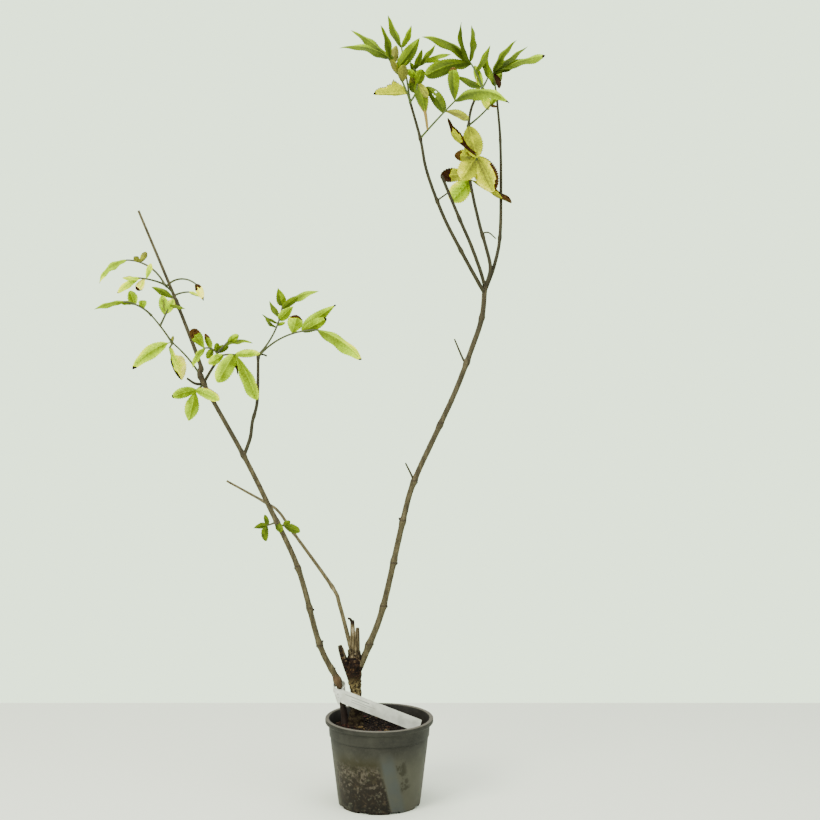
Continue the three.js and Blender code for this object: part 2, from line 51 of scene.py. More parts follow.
studio = {
    "floorFront": -7000,
    "floorBack": 576,      # how far the floor runs on behind the pot
    "floorSide": 7000,
    "floorColour": "#f5fde8",
    "seenColour": "#e9ffdc",
    "seenStrength": 2.6,
    "worldColour": "#f4f8f0",
    "worldStrength": 0.7,
    "lights": [
        # name, place, aim, size, watts, colour
        ("lightKey", (-1700, -1900, 2100), (0, 0, 650), 1300, 98, "#fffdf6"),
        ("lightFill", (1900, -1700, 1300), (0, 0, 600), 1700, 26, "#f6f9ff"),
        ("lightTop", (0, -300, 2700), (0, -300, 0), 2400, 88, "#ffffff"),
    ],
}


def choose(*pieces):
    # these pieces are selected, and nothing else; the first one is active
    if bpy.context.object and bpy.context.object.mode != "OBJECT":
        bpy.ops.object.mode_set(mode="OBJECT")
    bpy.ops.object.select_all(action="DESELECT")
    for piece in pieces:
        piece.select_set(True)
    if pieces:
        bpy.context.view_layer.objects.active = pieces[0]


def chance(seed):
    # the plant's own seeded rule: a fraction that is always the same for the same seed
    wave = math.sin(seed * 12.9898) * 43758.5453
    return wave - math.floor(wave)


def linear(hexColour):
    channels = [int(hexColour[i:i + 2], 16) / 255 for i in (1, 3, 5)]
    return tuple(c / 12.92 if c <= 0.04045 else ((c + 0.055) / 1.055) ** 2.4 for c in channels) + (1.0,)


def outputOf(source):
    # a source is a node, which gives its first output, or a (node, output) pair
    return source[0].outputs[source[1]] if isinstance(source, tuple) else source.outputs[0]


def addNode(tree, kind, settings=None, links=None):
    # settings name the node's own values or its sockets; links are {socket: source}
    node = tree.nodes.new("ShaderNode" + kind)
    for name, value in (settings or {}).items():
        if name == "stops":
            ramp = node.color_ramp.elements
            while len(ramp) < len(value):
                ramp.new(0.5)
            for stop, (place, colour) in zip(ramp, value):
                stop.position = place
                stop.color = linear(colour)
        elif isinstance(name, str) and hasattr(node, name):
            setattr(node, name, value)
        else:
            node.inputs[name].default_value = value
    for name, source in (links or {}).items():
        tree.links.new(outputOf(source), node.inputs[name])
    return node


def perMm(size):
    # the scale of a pattern whose features are about size mm
    return 1 / (size * mm)


def inMm(*values):
    return tuple(value * mm for value in values)


def meeting(tree, *masks):
    # 1 only where all the masks are 1
    whole = masks[0]
    for mask in masks[1:]:
        whole = addNode(tree, "Math", {"operation": "MULTIPLY", "use_clamp": True}, {0: whole, 1: mask})
    return whole


def bandMask(tree, source, band, share=1.0):
    # share inside the band (low, lowFull, highFull, high), falling softly to 0 at its ends
    low, lowFull, highFull, high = band
    edges = []
    for start, full in ((low, lowFull), (high, highFull)):
        edges.append(addNode(tree, "MapRange", {
            "interpolation_type": "SMOOTHSTEP", "From Min": start, "From Max": full,
            "To Max": math.sqrt(share)}, {"Value": source}))
    return meeting(tree, *edges)


def layered(tree, colour, layers):
    # each layer is a tone, which is hex or a source, and a mask that says where it covers those below
    for tone, mask in layers:
        settings, links = {"data_type": "RGBA"}, {0: mask, 6: colour}
        if isinstance(tone, str):
            settings[7] = linear(tone)
        else:
            links[7] = tone
        colour = (addNode(tree, "Mix", settings, links), 2)
    return colour


def newMaterial(name, settings):
    material = bpy.data.materials.new(name)
    material.use_nodes = True
    tree = material.node_tree
    shader = tree.nodes["Principled BSDF"]
    for socket, value in settings.items():
        shader.inputs[socket].default_value = value
    return material, tree, shader


def dress(shader, colour, height, distance, strength=1.0):
    # the surface's colour, if a pattern gives it, and its fine relief of distance mm
    tree = shader.id_data
    bump = addNode(tree, "Bump", {"Strength": strength, "Distance": distance * mm}, {"Height": height})
    tree.links.new(bump.outputs["Normal"], shader.inputs["Normal"])
    if colour:
        tree.links.new(outputOf(colour), shader.inputs["Base Color"])


def paint(piece, *materials):
    for material in materials:
        piece.data.materials.append(material)


def smooth(piece, angle):
    choose(piece)
    bpy.ops.object.shade_smooth_by_angle(angle=math.radians(angle))


def applyModifier(piece, kind, **settings):
    choose(piece)
    bpy.ops.object.modifier_add(type=kind)
    modifier = piece.modifiers[-1]
    for name, value in settings.items():
        setattr(modifier, name, value)
    bpy.ops.object.modifier_apply(modifier=modifier.name)


def joinPieces(pieces, name):
    choose(*pieces)
    if len(pieces) > 1:
        bpy.ops.object.join()
    pieces[0].name = name
    return pieces[0]


def mergeDoubles(piece):
    choose(piece)
    bpy.ops.object.mode_set(mode="EDIT")
    bpy.ops.mesh.select_all(action="SELECT")
    bpy.ops.mesh.remove_doubles(threshold=0.01 * mm)
    bpy.ops.mesh.normals_make_consistent(inside=False)
    bpy.ops.object.mode_set(mode="OBJECT")


def meshPiece(name, points, faces, tints=None):
    mesh = bpy.data.meshes.new(name)
    mesh.from_pydata([tuple(p) for p in points], [], faces)
    if tints:
        mesh.polygons.foreach_set("material_index", tints)
    mesh.update()
    piece = bpy.data.objects.new(name, mesh)
    bpy.context.scene.collection.objects.link(piece)
    return piece


def standsFor(piece, slotName, *nodes):
    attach(piece, "root")
    if nodes:
        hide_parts(*nodes)


# Camera, lights, backdrop and floor

def addCamera():
    x, y, z = cameraView["place"]
    bpy.ops.object.camera_add(location=(x * mm, y * mm, z * mm),
                              rotation=(math.radians(90 - cameraView["tiltDown"]), 0, 0))
    camera = bpy.context.object
    camera.data.lens = cameraView["lens"]
    camera.data.sensor_width = cameraView["sensor"]
    bpy.context.scene.camera = camera


def addWorld():
    # a pale backdrop on all sides, seen brighter than it lights
    world = bpy.data.worlds.new("paleBackdrop")
    world.use_nodes = True
    tree = world.node_tree
    light = tree.nodes["Background"]
    light.inputs["Color"].default_value = linear(studio["worldColour"])
    light.inputs["Strength"].default_value = studio["worldStrength"]
    seen = addNode(tree, "Background", {
        "Color": linear(studio["seenColour"]), "Strength": studio["seenStrength"]})
    path = addNode(tree, "LightPath")
    mix = addNode(tree, "MixShader", {}, {0: (path, "Is Camera Ray"), 1: light, 2: seen})
    tree.links.new(mix.outputs[0], tree.nodes["World Output"].inputs["Surface"])
    bpy.context.scene.world = world


def addStudio():
    addWorld()
    for name, place, aim, size, watts, colour in studio["lights"]:
        start = Vector(place) * mm
        bpy.ops.object.light_add(type="AREA", location=start)
        light = bpy.context.object
        light.name = name
        light.rotation_euler = (Vector(aim) * mm - start).to_track_quat("-Z", "Y").to_euler()
        light.data.size = size * mm
        light.data.energy = watts
        light.data.color = linear(colour)[:3]
    material = newMaterial("paintedFloor", {"Base Color": linear(studio["floorColour"]), "Roughness": 0.8})[0]
    choose()
    bpy.ops.mesh.primitive_plane_add(size=2)
    floor = bpy.context.object
    floor.name = "floor"
    for vertex in floor.data.vertices:
        back = vertex.co.y > 0
        vertex.co = (vertex.co.x * studio["floorSide"] * mm,
                     (studio["floorBack"] if back else studio["floorFront"]) * mm, 0)
    paint(floor, material)


addCamera()
addStudio()
print("camera and studio ready")


# Pot: a moulded grey plant pot, extruded upwards ring by ring, over its lip and down inside

pot = {
    "height": 135,
    "rimRadius": 82.5,
    "lipHeight": 8,
    "lipOverhang": 5,
    "lipRound": 1.9,
    "bandHeight": 19,
    "bandRadius": 76.4,
    "bandStep": 1.2,
    "stepHeight": 1.5,
    "baseRadius": 62.7,
    "baseRound": 1.6,
    "underside": 1.2,     # how far the underside is set up inside its standing ring
    "standingRing": 4,
    "wall": 1.5,
    "floor": 2.6,
    "sides": 144,
    "notches": 8,
    "notchWidth": 16,
    "notchDepth": 12,
    "notchHeight": 3.6,
}


def between(marks, place):
    # the value at a place, between marks of (place, value)
    for (lowPlace, low), (highPlace, high) in zip(marks, marks[1:]):
        if place <= highPlace:
            return low + (high - low) * max(0, place - lowPlace) / (highPlace - lowPlace)
    return marks[-1][1]


lipFoot = pot["height"] - pot["lipHeight"]
bandFoot = lipFoot - pot["bandHeight"]
stepFoot = bandFoot - pot["stepHeight"]
wallTop = pot["rimRadius"] - pot["lipOverhang"]
outerWall = [(0, pot["baseRadius"]), (stepFoot, pot["bandRadius"] - pot["bandStep"]),
             (bandFoot, pot["bandRadius"]), (lipFoot, wallTop)]


def potOuter(height):
    # radius of the outer wall under the lip
    return between(outerWall, height)


def potInner(height):
    return potOuter(height) - pot["wall"]


def potProfile():
    # radius and height of each ring, from the underside's middle outwards and up
    small, foot = pot["lipRound"], pot["baseRound"]
    ringIn = pot["baseRadius"] - pot["standingRing"]
    rings = [(30, pot["underside"]), (ringIn - 1, pot["underside"]), (ringIn, 0),
             (pot["baseRadius"] - foot, 0)]
    for step in range(1, 5):
        turn = math.pi / 2 * step / 4
        rings.append((pot["baseRadius"] - foot * (1 - math.sin(turn)), foot * (1 - math.cos(turn))))
    for step in range(1, 12):
        height = foot + (stepFoot - foot) * step / 12
        rings.append((potOuter(height), height))
    rings += [(potOuter(stepFoot) - 0.25, stepFoot - 0.4), (potOuter(stepFoot) - 0.35, stepFoot + 0.3),
              (potOuter(bandFoot) - 0.2, bandFoot - 0.5), (potOuter(bandFoot), bandFoot + 0.3),
              (potOuter(bandFoot + 9), bandFoot + 9), (wallTop, lipFoot)]
    for height, start in ((lipFoot + small, -90), (pot["height"] - small, 0)):
        for step in range(6):
            turn = math.radians(start + 90 * step / 5)
            rings.append((pot["rimRadius"] - small + small * math.cos(turn), height + small * math.sin(turn)))
    inner = wallTop - pot["wall"]
    rings += [(inner + 2.6, pot["height"]), (inner + 0.9, pot["height"] - 0.7), (inner, pot["height"] - 2.4)]
    rings += [(potInner(height), height)
              for height in (bandFoot + 9, bandFoot, stepFoot, 70, 35, pot["floor"])]
    rings.append((20, pot["floor"]))
    return rings


def makePot():
    rings = potProfile()
    radius, height = rings[0]
    choose()
    bpy.ops.mesh.primitive_circle_add(vertices=pot["sides"], radius=radius * mm, fill_type="NGON",
                                      location=(0, 0, height * mm))
    piece = bpy.context.object
    piece.name = "pot_moulded"
    bpy.ops.object.transform_apply(location=True, rotation=True, scale=True)
    bpy.ops.object.mode_set(mode="EDIT")
    bpy.ops.mesh.select_all(action="SELECT")
    for nextRadius, nextHeight in rings[1:]:
        bpy.ops.mesh.extrude_region_move(TRANSFORM_OT_translate={"value": (0, 0, (nextHeight - height) * mm)})
        ratio = nextRadius / radius
        bpy.ops.transform.resize(value=(ratio, ratio, 1), center_override=(0, 0, nextHeight * mm))
        radius, height = nextRadius, nextHeight
    mergeDoubles(piece)
    cutNotches(piece)
    smooth(piece, 32)
    return piece


def cutNotches(piece):
    # the open drain slots round the pot's foot
    cutters = []
    for i in range(pot["notches"]):
        turn = 2 * math.pi * (i + 0.5) / pot["notches"]
        choose()
        bpy.ops.mesh.primitive_cube_add(size=1, location=(
            pot["baseRadius"] * mm * math.cos(turn), pot["baseRadius"] * mm * math.sin(turn), 0))
        cutter = bpy.context.object
        cutter.rotation_euler.z = turn
        cutter.scale = inMm(pot["notchDepth"], pot["notchWidth"], 2 * pot["notchHeight"])
        cutters.append(cutter)
    cutter = joinPieces(cutters, "notches")
    applyModifier(piece, "BOOLEAN", operation="DIFFERENCE", object=cutter, solver="EXACT")
    bpy.data.objects.remove(cutter)


# The window of a mark on the pot's front, in mm: the X and the Z between which it fades in and out, and
# how far it moves along X for each mm of height
potMarks = {
    "cloud": ((-64, -44, 0, 16), (24, 44, 78, 98), 0.1),
    "mud": ((-64, -52, 16, 21), (-8, -2, 40, 74), 0.2),
    "streaks": ((-60, -46, 11, 18), (20, 44, 64, 82), 0.2),
    "splash": ((-56, -34, 17, 21), (-8, -2, 30, 66), 0.2),
    "specks": ((-60, -48, 14, 19), (10, 20, 66, 84), 0.2),
    "clean": ((17, 24, 35, 45), (-8, 0, 76, 104), 0.2),
    "green": ((38, 42, 50, 58), (28, 40, 78, 92), 0.18),
}


# The noise patterns that the pot's marks are cut from: size in mm, detail, roughness and distortion
potPatterns = {
    "cloud": (30, 5, 0.6, 0),
    "dust": (2.2, 3, 0.5, 0),
    "smear": (9, 6, 0.65, 0),
    "mud": (13, 8, 0.68, 0.9),
    "veins": (16, 4, 0.5, 0.7),
    "crumbs": (4.2, 5, 0.7, 0),
    "grain": (0.9, 3, 0.5, 0),
}


def windowMask(tree, split, across, upright, slant):
    # 1 inside the window on the side that faces -Y
    x, y, z = [(split, axis) for axis in "XYZ"]
    moved = addNode(tree, "Math", {"operation": "MULTIPLY_ADD", 1: slant}, {0: z, 2: x})
    front = addNode(tree, "MapRange", {"From Min": -10 * mm, "From Max": -30 * mm}, {"Value": y})
    return meeting(tree, bandMask(tree, moved, inMm(*across)), bandMask(tree, z, inMm(*upright)), front)


def potPlastic():
    # recycled polypropylene, injection moulded: dull grey-brown, dusty, with dried mud thrown up its front; a
    # painted shade line in the groove at the band's foot and a painted highlight along the lip's top edge
    material, tree, shader = newMaterial("recycledPolypropylene", {
        "Roughness": 0.58, "IOR": 1.49, "Specular IOR Level": 0.2})
    place = (addNode(tree, "TexCoord"), "Object")
    split = addNode(tree, "SeparateXYZ", {}, {"Vector": place})
    patterns = {}
    for name, (size, detail, roughness, distortion) in potPatterns.items():
        patterns[name] = addNode(tree, "TexNoise", {
            "Scale": perMm(size), "Detail": detail, "Roughness": roughness, "Distortion": distortion},
            {"Vector": place})
    mudTone = addNode(tree, "ValToRGB", {"stops": [
        (0.36, "#0f0a04"), (0.48, "#1b140a"), (0.58, "#2b2115"), (0.68, "#443a2c")]},
        {"Fac": patterns["smear"]})
    base = addNode(tree, "ValToRGB", {"stops": [
        (0.3, "#1d1c16"), (0.5, "#262520"), (0.72, "#33322b")]}, {"Fac": patterns["cloud"]})
    layers = [("#424038", addNode(tree, "MapRange", {"From Min": 0.52, "From Max": 0.8, "To Max": 0.35},
                                  {"Value": patterns["dust"]}))]
    height = pot["height"]
    for band, tone, share in (((-20, -19, 58, 112), "#514f40", 0.5),
                              # painted shade: a dark line in the groove under the band's step
                              ((bandFoot - 2, bandFoot - 1, bandFoot + 0.2, bandFoot + 1), "#1b1a15", 0.7),
                              # painted highlight: a paler band along the lip's top edge
                              ((height - 1.6, height - 0.5, 400, 401), "#6f6c60", 0.6)):
        layers.append((tone, bandMask(tree, (split, "Z"), inMm(*band), share)))
    for mark, pattern, band, tone, share in (
            ("clean", "cloud", (0.3, 0.42, 0.42, 0.9), "#3b3f3e", 0.75),
            ("green", "smear", (0.44, 0.54, 0.9, 1.2), "#1e1c0c", 0.75),
            ("cloud", "mud", (0.3, 0.5, 0.9, 1.2), "#27230f", 0.85),
            ("mud", "mud", (0.4, 0.46, 0.9, 1.2), mudTone, 0.96),
            ("streaks", "veins", (0.43, 0.475, 0.505, 0.555), "#5f574b", 0.5),
            ("splash", "crumbs", (0.43, 0.51, 0.9, 1.2), "#0b0602", 0.96),
            ("specks", "crumbs", (0.47, 0.54, 0.9, 1.2), "#1a1208", 0.75)):
        window = windowMask(tree, split, *potMarks[mark])
        layers.append((tone, meeting(tree, window, bandMask(tree, patterns[pattern], band, share))))
    dress(shader, layered(tree, base, layers), patterns["grain"], 0.12, 0.5)   # orange-peel of a worn mould
    return material


# Potting soil: a rough mound of dark compost with crumbs and bark chips on it

soil = {
    "level": 120,
    "edgeDrop": 3,
    "edgeWidth": 9,
    "sunk": 1.6,          # how far the mean surface lies under the level
    "gap": 0.3,
    "rings": 60,
    "sides": 150,
    "lump": (2.4, 14),    # rise and size of the lumps
    "grain": (0.9, 3.1),
    "crumbs": 2600,
    "crumbSize": (0.7, 2.6),
    "crumbSquash": 0.8,
    "chips": 70,
    "chipSize": (3, 7),
    "chipSquash": 0.28,
    "seed": 11,
}


def soilTop(x, y):
    # height of the compost in mm
    edge = potInner(soil["level"] - soil["edgeDrop"]) - soil["gap"]
    out = min(1, max(0, (math.hypot(x, y) - edge + soil["edgeWidth"]) / soil["edgeWidth"]))
    height = soil["level"] - soil["edgeDrop"] * out - soil["sunk"]
    for (rise, size), layer in ((soil["lump"], 0.4), (soil["grain"], 2.7)):
        height += rise * noise.noise(Vector((x / size, y / size, layer)))
    return height


def makeSoil():
    sides = soil["sides"]
    edge = potInner(soil["level"] - soil["edgeDrop"]) - soil["gap"]
    rings = [(edge * ring / soil["rings"], None) for ring in range(1, soil["rings"] + 1)]
    rings += [(potInner(height) - soil["gap"], height) for height in (108, 60, pot["floor"] + soil["gap"])]
    points = [inMm(0, 0, soilTop(0, 0))]
    for radius, height in rings:
        for side in range(sides):
            turn = 2 * math.pi * side / sides
            x, y = radius * math.cos(turn), radius * math.sin(turn)
            points.append(inMm(x, y, soilTop(x, y) if height is None else height))
    faces = []
    for side in range(sides):
        after = (side + 1) % sides
        faces.append((0, 1 + side, 1 + after))
        for low in range(1, len(points) - sides, sides):
            faces.append((low + side, low + sides + side, low + sides + after, low + after))
    faces.append(tuple(reversed(range(len(points) - sides, len(points)))))
    piece = meshPiece("potting_soil_rough", points, faces)
    smooth(piece, 60)
    return piece


def addLump(mesh, centre, size, squash, turn, tint):
    # a crumb: eight corners of a rough box, each moved by chance
    first = len(mesh["points"])
    draw = mesh["draw"]
    for k in range(8):
        corner = Vector(((k & 1) - 0.5, (k >> 1 & 1) - 0.5, ((k >> 2) - 0.5) * squash))
        corner = corner * (0.75 + 0.5 * draw.random()) * size
        x = corner.x * math.cos(turn) - corner.y * math.sin(turn)
        y = corner.x * math.sin(turn) + corner.y * math.cos(turn)
        mesh["points"].append(inMm(centre[0] + x, centre[1] + y, centre[2] + corner.z))
    for face in ((0, 2, 3, 1), (4, 5, 7, 6), (0, 1, 5, 4), (2, 6, 7, 3), (0, 4, 6, 2), (1, 3, 7, 5)):
        mesh["faces"].append(tuple(first + k for k in face))
        mesh["tints"].append(tint)


def makeCrumbs():
    draw = random.Random(soil["seed"])
    mesh = {"points": [], "faces": [], "tints": [], "draw": draw}
    reach = potInner(soil["level"]) - 4
    (small, large), (smallChip, largeChip) = soil["crumbSize"], soil["chipSize"]
    for i in range(soil["crumbs"] + soil["chips"]):
        out, turn = reach * math.sqrt(draw.random()), 2 * math.pi * draw.random()
        x, y = out * math.cos(turn), out * math.sin(turn)
        if i < soil["crumbs"]:
            # most crumbs are small and dark, and red bark lies on the left
            size = small + (large - small) * draw.random() ** 2.2
            tint = draw.choice((0, 0, 0, 1, 1, 2)) if x > -30 else draw.choice((0, 0, 1, 3, 3, 2))
            place = (x, y, soilTop(x, y) + 0.3 * size)
            addLump(mesh, place, size, soil["crumbSquash"], 6 * draw.random(), tint)
        else:
            size = smallChip + (largeChip - smallChip) * draw.random()
            place = (x, y, soilTop(x, y) + 0.6)
            addLump(mesh, place, size, soil["chipSquash"], 6 * draw.random(), draw.choice((1, 3, 4)))
    return meshPiece("soil_crumbs", mesh["points"], mesh["faces"], mesh["tints"])


def compostMaterials():
    # damp peat and composted bark: nearly black, broken by red-brown fibre and pale grit
    material, tree, shader = newMaterial("dampCompost", {
        "Roughness": 0.92, "IOR": 1.4, "Specular IOR Level": 0.2})
    place = (addNode(tree, "TexCoord"), "Object")
    lumps = addNode(tree, "TexNoise", {"Scale": perMm(5), "Detail": 8, "Roughness": 0.75}, {"Vector": place})
    tone = addNode(tree, "ValToRGB", {"stops": [
        (0.35, "#060301"), (0.52, "#110b06"), (0.64, "#241911"), (0.74, "#3f3020")]}, {"Fac": lumps})
    dress(shader, tone, lumps, 1.2)
    crumbs = []
    for name, colour in (("peatCrumb", "#0d0805"), ("darkBarkChip", "#1c120a"), ("woodFibre", "#3d301e"),
                         ("redBarkChip", "#34170f"), ("paleChip", "#57482a")):
        crumb, tree, shader = newMaterial(name, {
            "Base Color": linear(colour), "Roughness": 0.9, "Specular IOR Level": 0.2})
        place = (addNode(tree, "TexCoord"), "Object")
        dress(shader, None, addNode(tree, "TexNoise", {"Scale": perMm(0.8)}, {"Vector": place}), 0.3)
        crumbs.append(crumb)
    return material, crumbs


potPiece = makePot()
paint(potPiece, potPlastic())
standsFor(potPiece, "pot_plastic", "pot")
soilPiece = makeSoil()
crumbPiece = makeCrumbs()
compost, crumbMaterials = compostMaterials()
paint(soilPiece, compost)
paint(crumbPiece, *crumbMaterials)
standsFor(soilPiece, "compost", "potting_soil")
standsFor(crumbPiece, "compost")
print("pot and soil made")


# Label: a white plastic strip whose narrow end is looped round the left stem

label = {
    "width": 21,
    "loopWidth": 9,
    "thickness": 0.7,
    "loopCentre": (-61.5, 15.5),
    "loopRadius": 9,
    "loopHeight": 177,
    "loopTilt": 5,
    "loopFrom": -55,
    "loopTo": 250,
    "strip": [(-55, 3, 166), (2, -19.5, 150), (62, -42.5, 132)],
    "tailTop": (-63, 6.6, 176),
    "tailTip": (-62, 3.4, 152),
    "tailWidth": 15,
    "steps": 120,
    "rows": 8,
    "bow": 1.4,           # how far the strip springs outwards
    "tailCurl": 1.2,
    # the low, high, left and right edge of each ruled line, as shares of the strip
    "lines": [(0.68, 0.75, 0.34, 0.56), (0.48, 0.53, 0.40, 0.62), (0.33, 0.375, 0.40, 0.55)],
}


def labelRoute():
    # points along the label's middle, each with its width
    route = []
    x, y = label["loopCentre"]
    for step in range(25):
        turn = math.radians(label["loopFrom"] + (label["loopTo"] - label["loopFrom"]) * step / 24)
        across, back = math.cos(turn), math.sin(turn)
        route.append((Vector((x + label["loopRadius"] * across, y + label["loopRadius"] * back,
                              label["loopHeight"] + label["loopTilt"] * back)), label["loopWidth"]))
    return route + [(Vector(point), label["width"]) for point in label["strip"]]


def walk(route, share):
    # a point, its direction and its width at a share of the route's length
    lengths = [(b[0] - a[0]).length for a, b in zip(route, route[1:])]
    left = share * sum(lengths)
    for (a, b), long in zip(zip(route, route[1:]), lengths):
        if left <= long:
            along = left / long
            return a[0].lerp(b[0], along), (b[0] - a[0]).normalized(), a[1] + (b[1] - a[1]) * along
        left -= long
    return route[-1][0], (route[-1][0] - route[-2][0]).normalized(), route[-1][1]


def makeLabel():
    route = labelRoute()
    choose()
    bpy.ops.mesh.primitive_grid_add(x_subdivisions=label["steps"], y_subdivisions=label["rows"], size=2)
    piece = bpy.context.object
    for vertex in piece.data.vertices:
        share, up = (vertex.co.x + 1) / 2, vertex.co.y
        middle, along, width = walk(route, share)
        out = along.cross(Vector((0, 0, 1))).normalized()
        rise = out.cross(along)
        bow = label["bow"] * math.sin(math.pi * min(1, max(0, (share - 0.3) / 0.7)))
        vertex.co = (middle + rise * up * width / 2 + out * bow) * mm
    choose()
    bpy.ops.mesh.primitive_grid_add(x_subdivisions=10, y_subdivisions=6, size=2)
    tail = bpy.context.object
    top, tip = Vector(label["tailTop"]), Vector(label["tailTip"])
    for vertex in tail.data.vertices:
        down = (1 - vertex.co.y) / 2
        half = label["tailWidth"] / 2 * (1 - down) ** 0.8
        curl = label["tailCurl"] * math.sin(math.pi * down)
        vertex.co = (top.lerp(tip, down) + Vector((vertex.co.x * half, -curl, 0))) * mm
    for sheet in (piece, tail):
        applyModifier(sheet, "SOLIDIFY", thickness=label["thickness"] * mm, offset=0)
    joinPieces([piece, tail], "label_strip")
    mergeDoubles(piece)
    smooth(piece, 35)
    return piece


def labelPlastic():
    # matt white polypropylene, thin and weathered, with plain grey ruled lines and soil stains
    material, tree, shader = newMaterial("mattPolypropylene", {"Roughness": 0.5, "IOR": 1.49})
    place = addNode(tree, "TexCoord")
    split = addNode(tree, "SeparateXYZ", {}, {"Vector": (place, "UV")})
    stain = addNode(tree, "TexNoise", {"Scale": perMm(12), "Detail": 5}, {"Vector": (place, "Object")})
    base = addNode(tree, "ValToRGB", {"stops": [
        (0.3, "#b4b8a9"), (0.5, "#cbcfc1"), (0.7, "#dadecf")]}, {"Fac": stain})
    soft = 0.008
    layers = []
    for low, high, left, right in label["lines"]:
        edges = [addNode(tree, "MapRange", {"From Min": edge, "From Max": edge + rise},
                         {"Value": (split, axis)})
                 for axis, edge, rise in (("Y", low, soft), ("Y", high, -soft), ("X", left, soft),
                                          ("X", right, -soft))]
        faded = addNode(tree, "MapRange", {
            "From Min": 0.3, "From Max": 0.6, "To Min": 0.25, "To Max": 0.7}, {"Value": stain})
        layers.append(("#2f3431", meeting(tree, *edges, faded)))
    fine = addNode(tree, "TexNoise", {"Scale": perMm(1.5)}, {"Vector": (place, "Object")})
    dress(shader, layered(tree, base, layers), fine, 0.05, 0.5)
    return material


labelPiece = makeLabel()
paint(labelPiece, labelPlastic())
standsFor(labelPiece, "label_plastic", "label")
print("label made")


# Limbs: trunk, stems, boughs and twigs. Each has the points that its middle runs through, its diameter
# at fractions of its length, and what sets it apart: its bark, the share and size of its lumps, its
# nodes as (height, swelling), and its stubs, which are limbs of the same form

bark = {
    "ringEvery": 2.0,
    "bevelResolution": 4,
    "ridge": 0.05,               # relief along the limb, as a share of its radius
    "ridgeSize": (1.7, 22),      # across and along the limb, in mm
    "lenticel": 0.12,            # how far a pore stands out, in mm
    "lenticelEvery": 5.5,
    "lenticelReach": 0.16,       # of the space between two
}

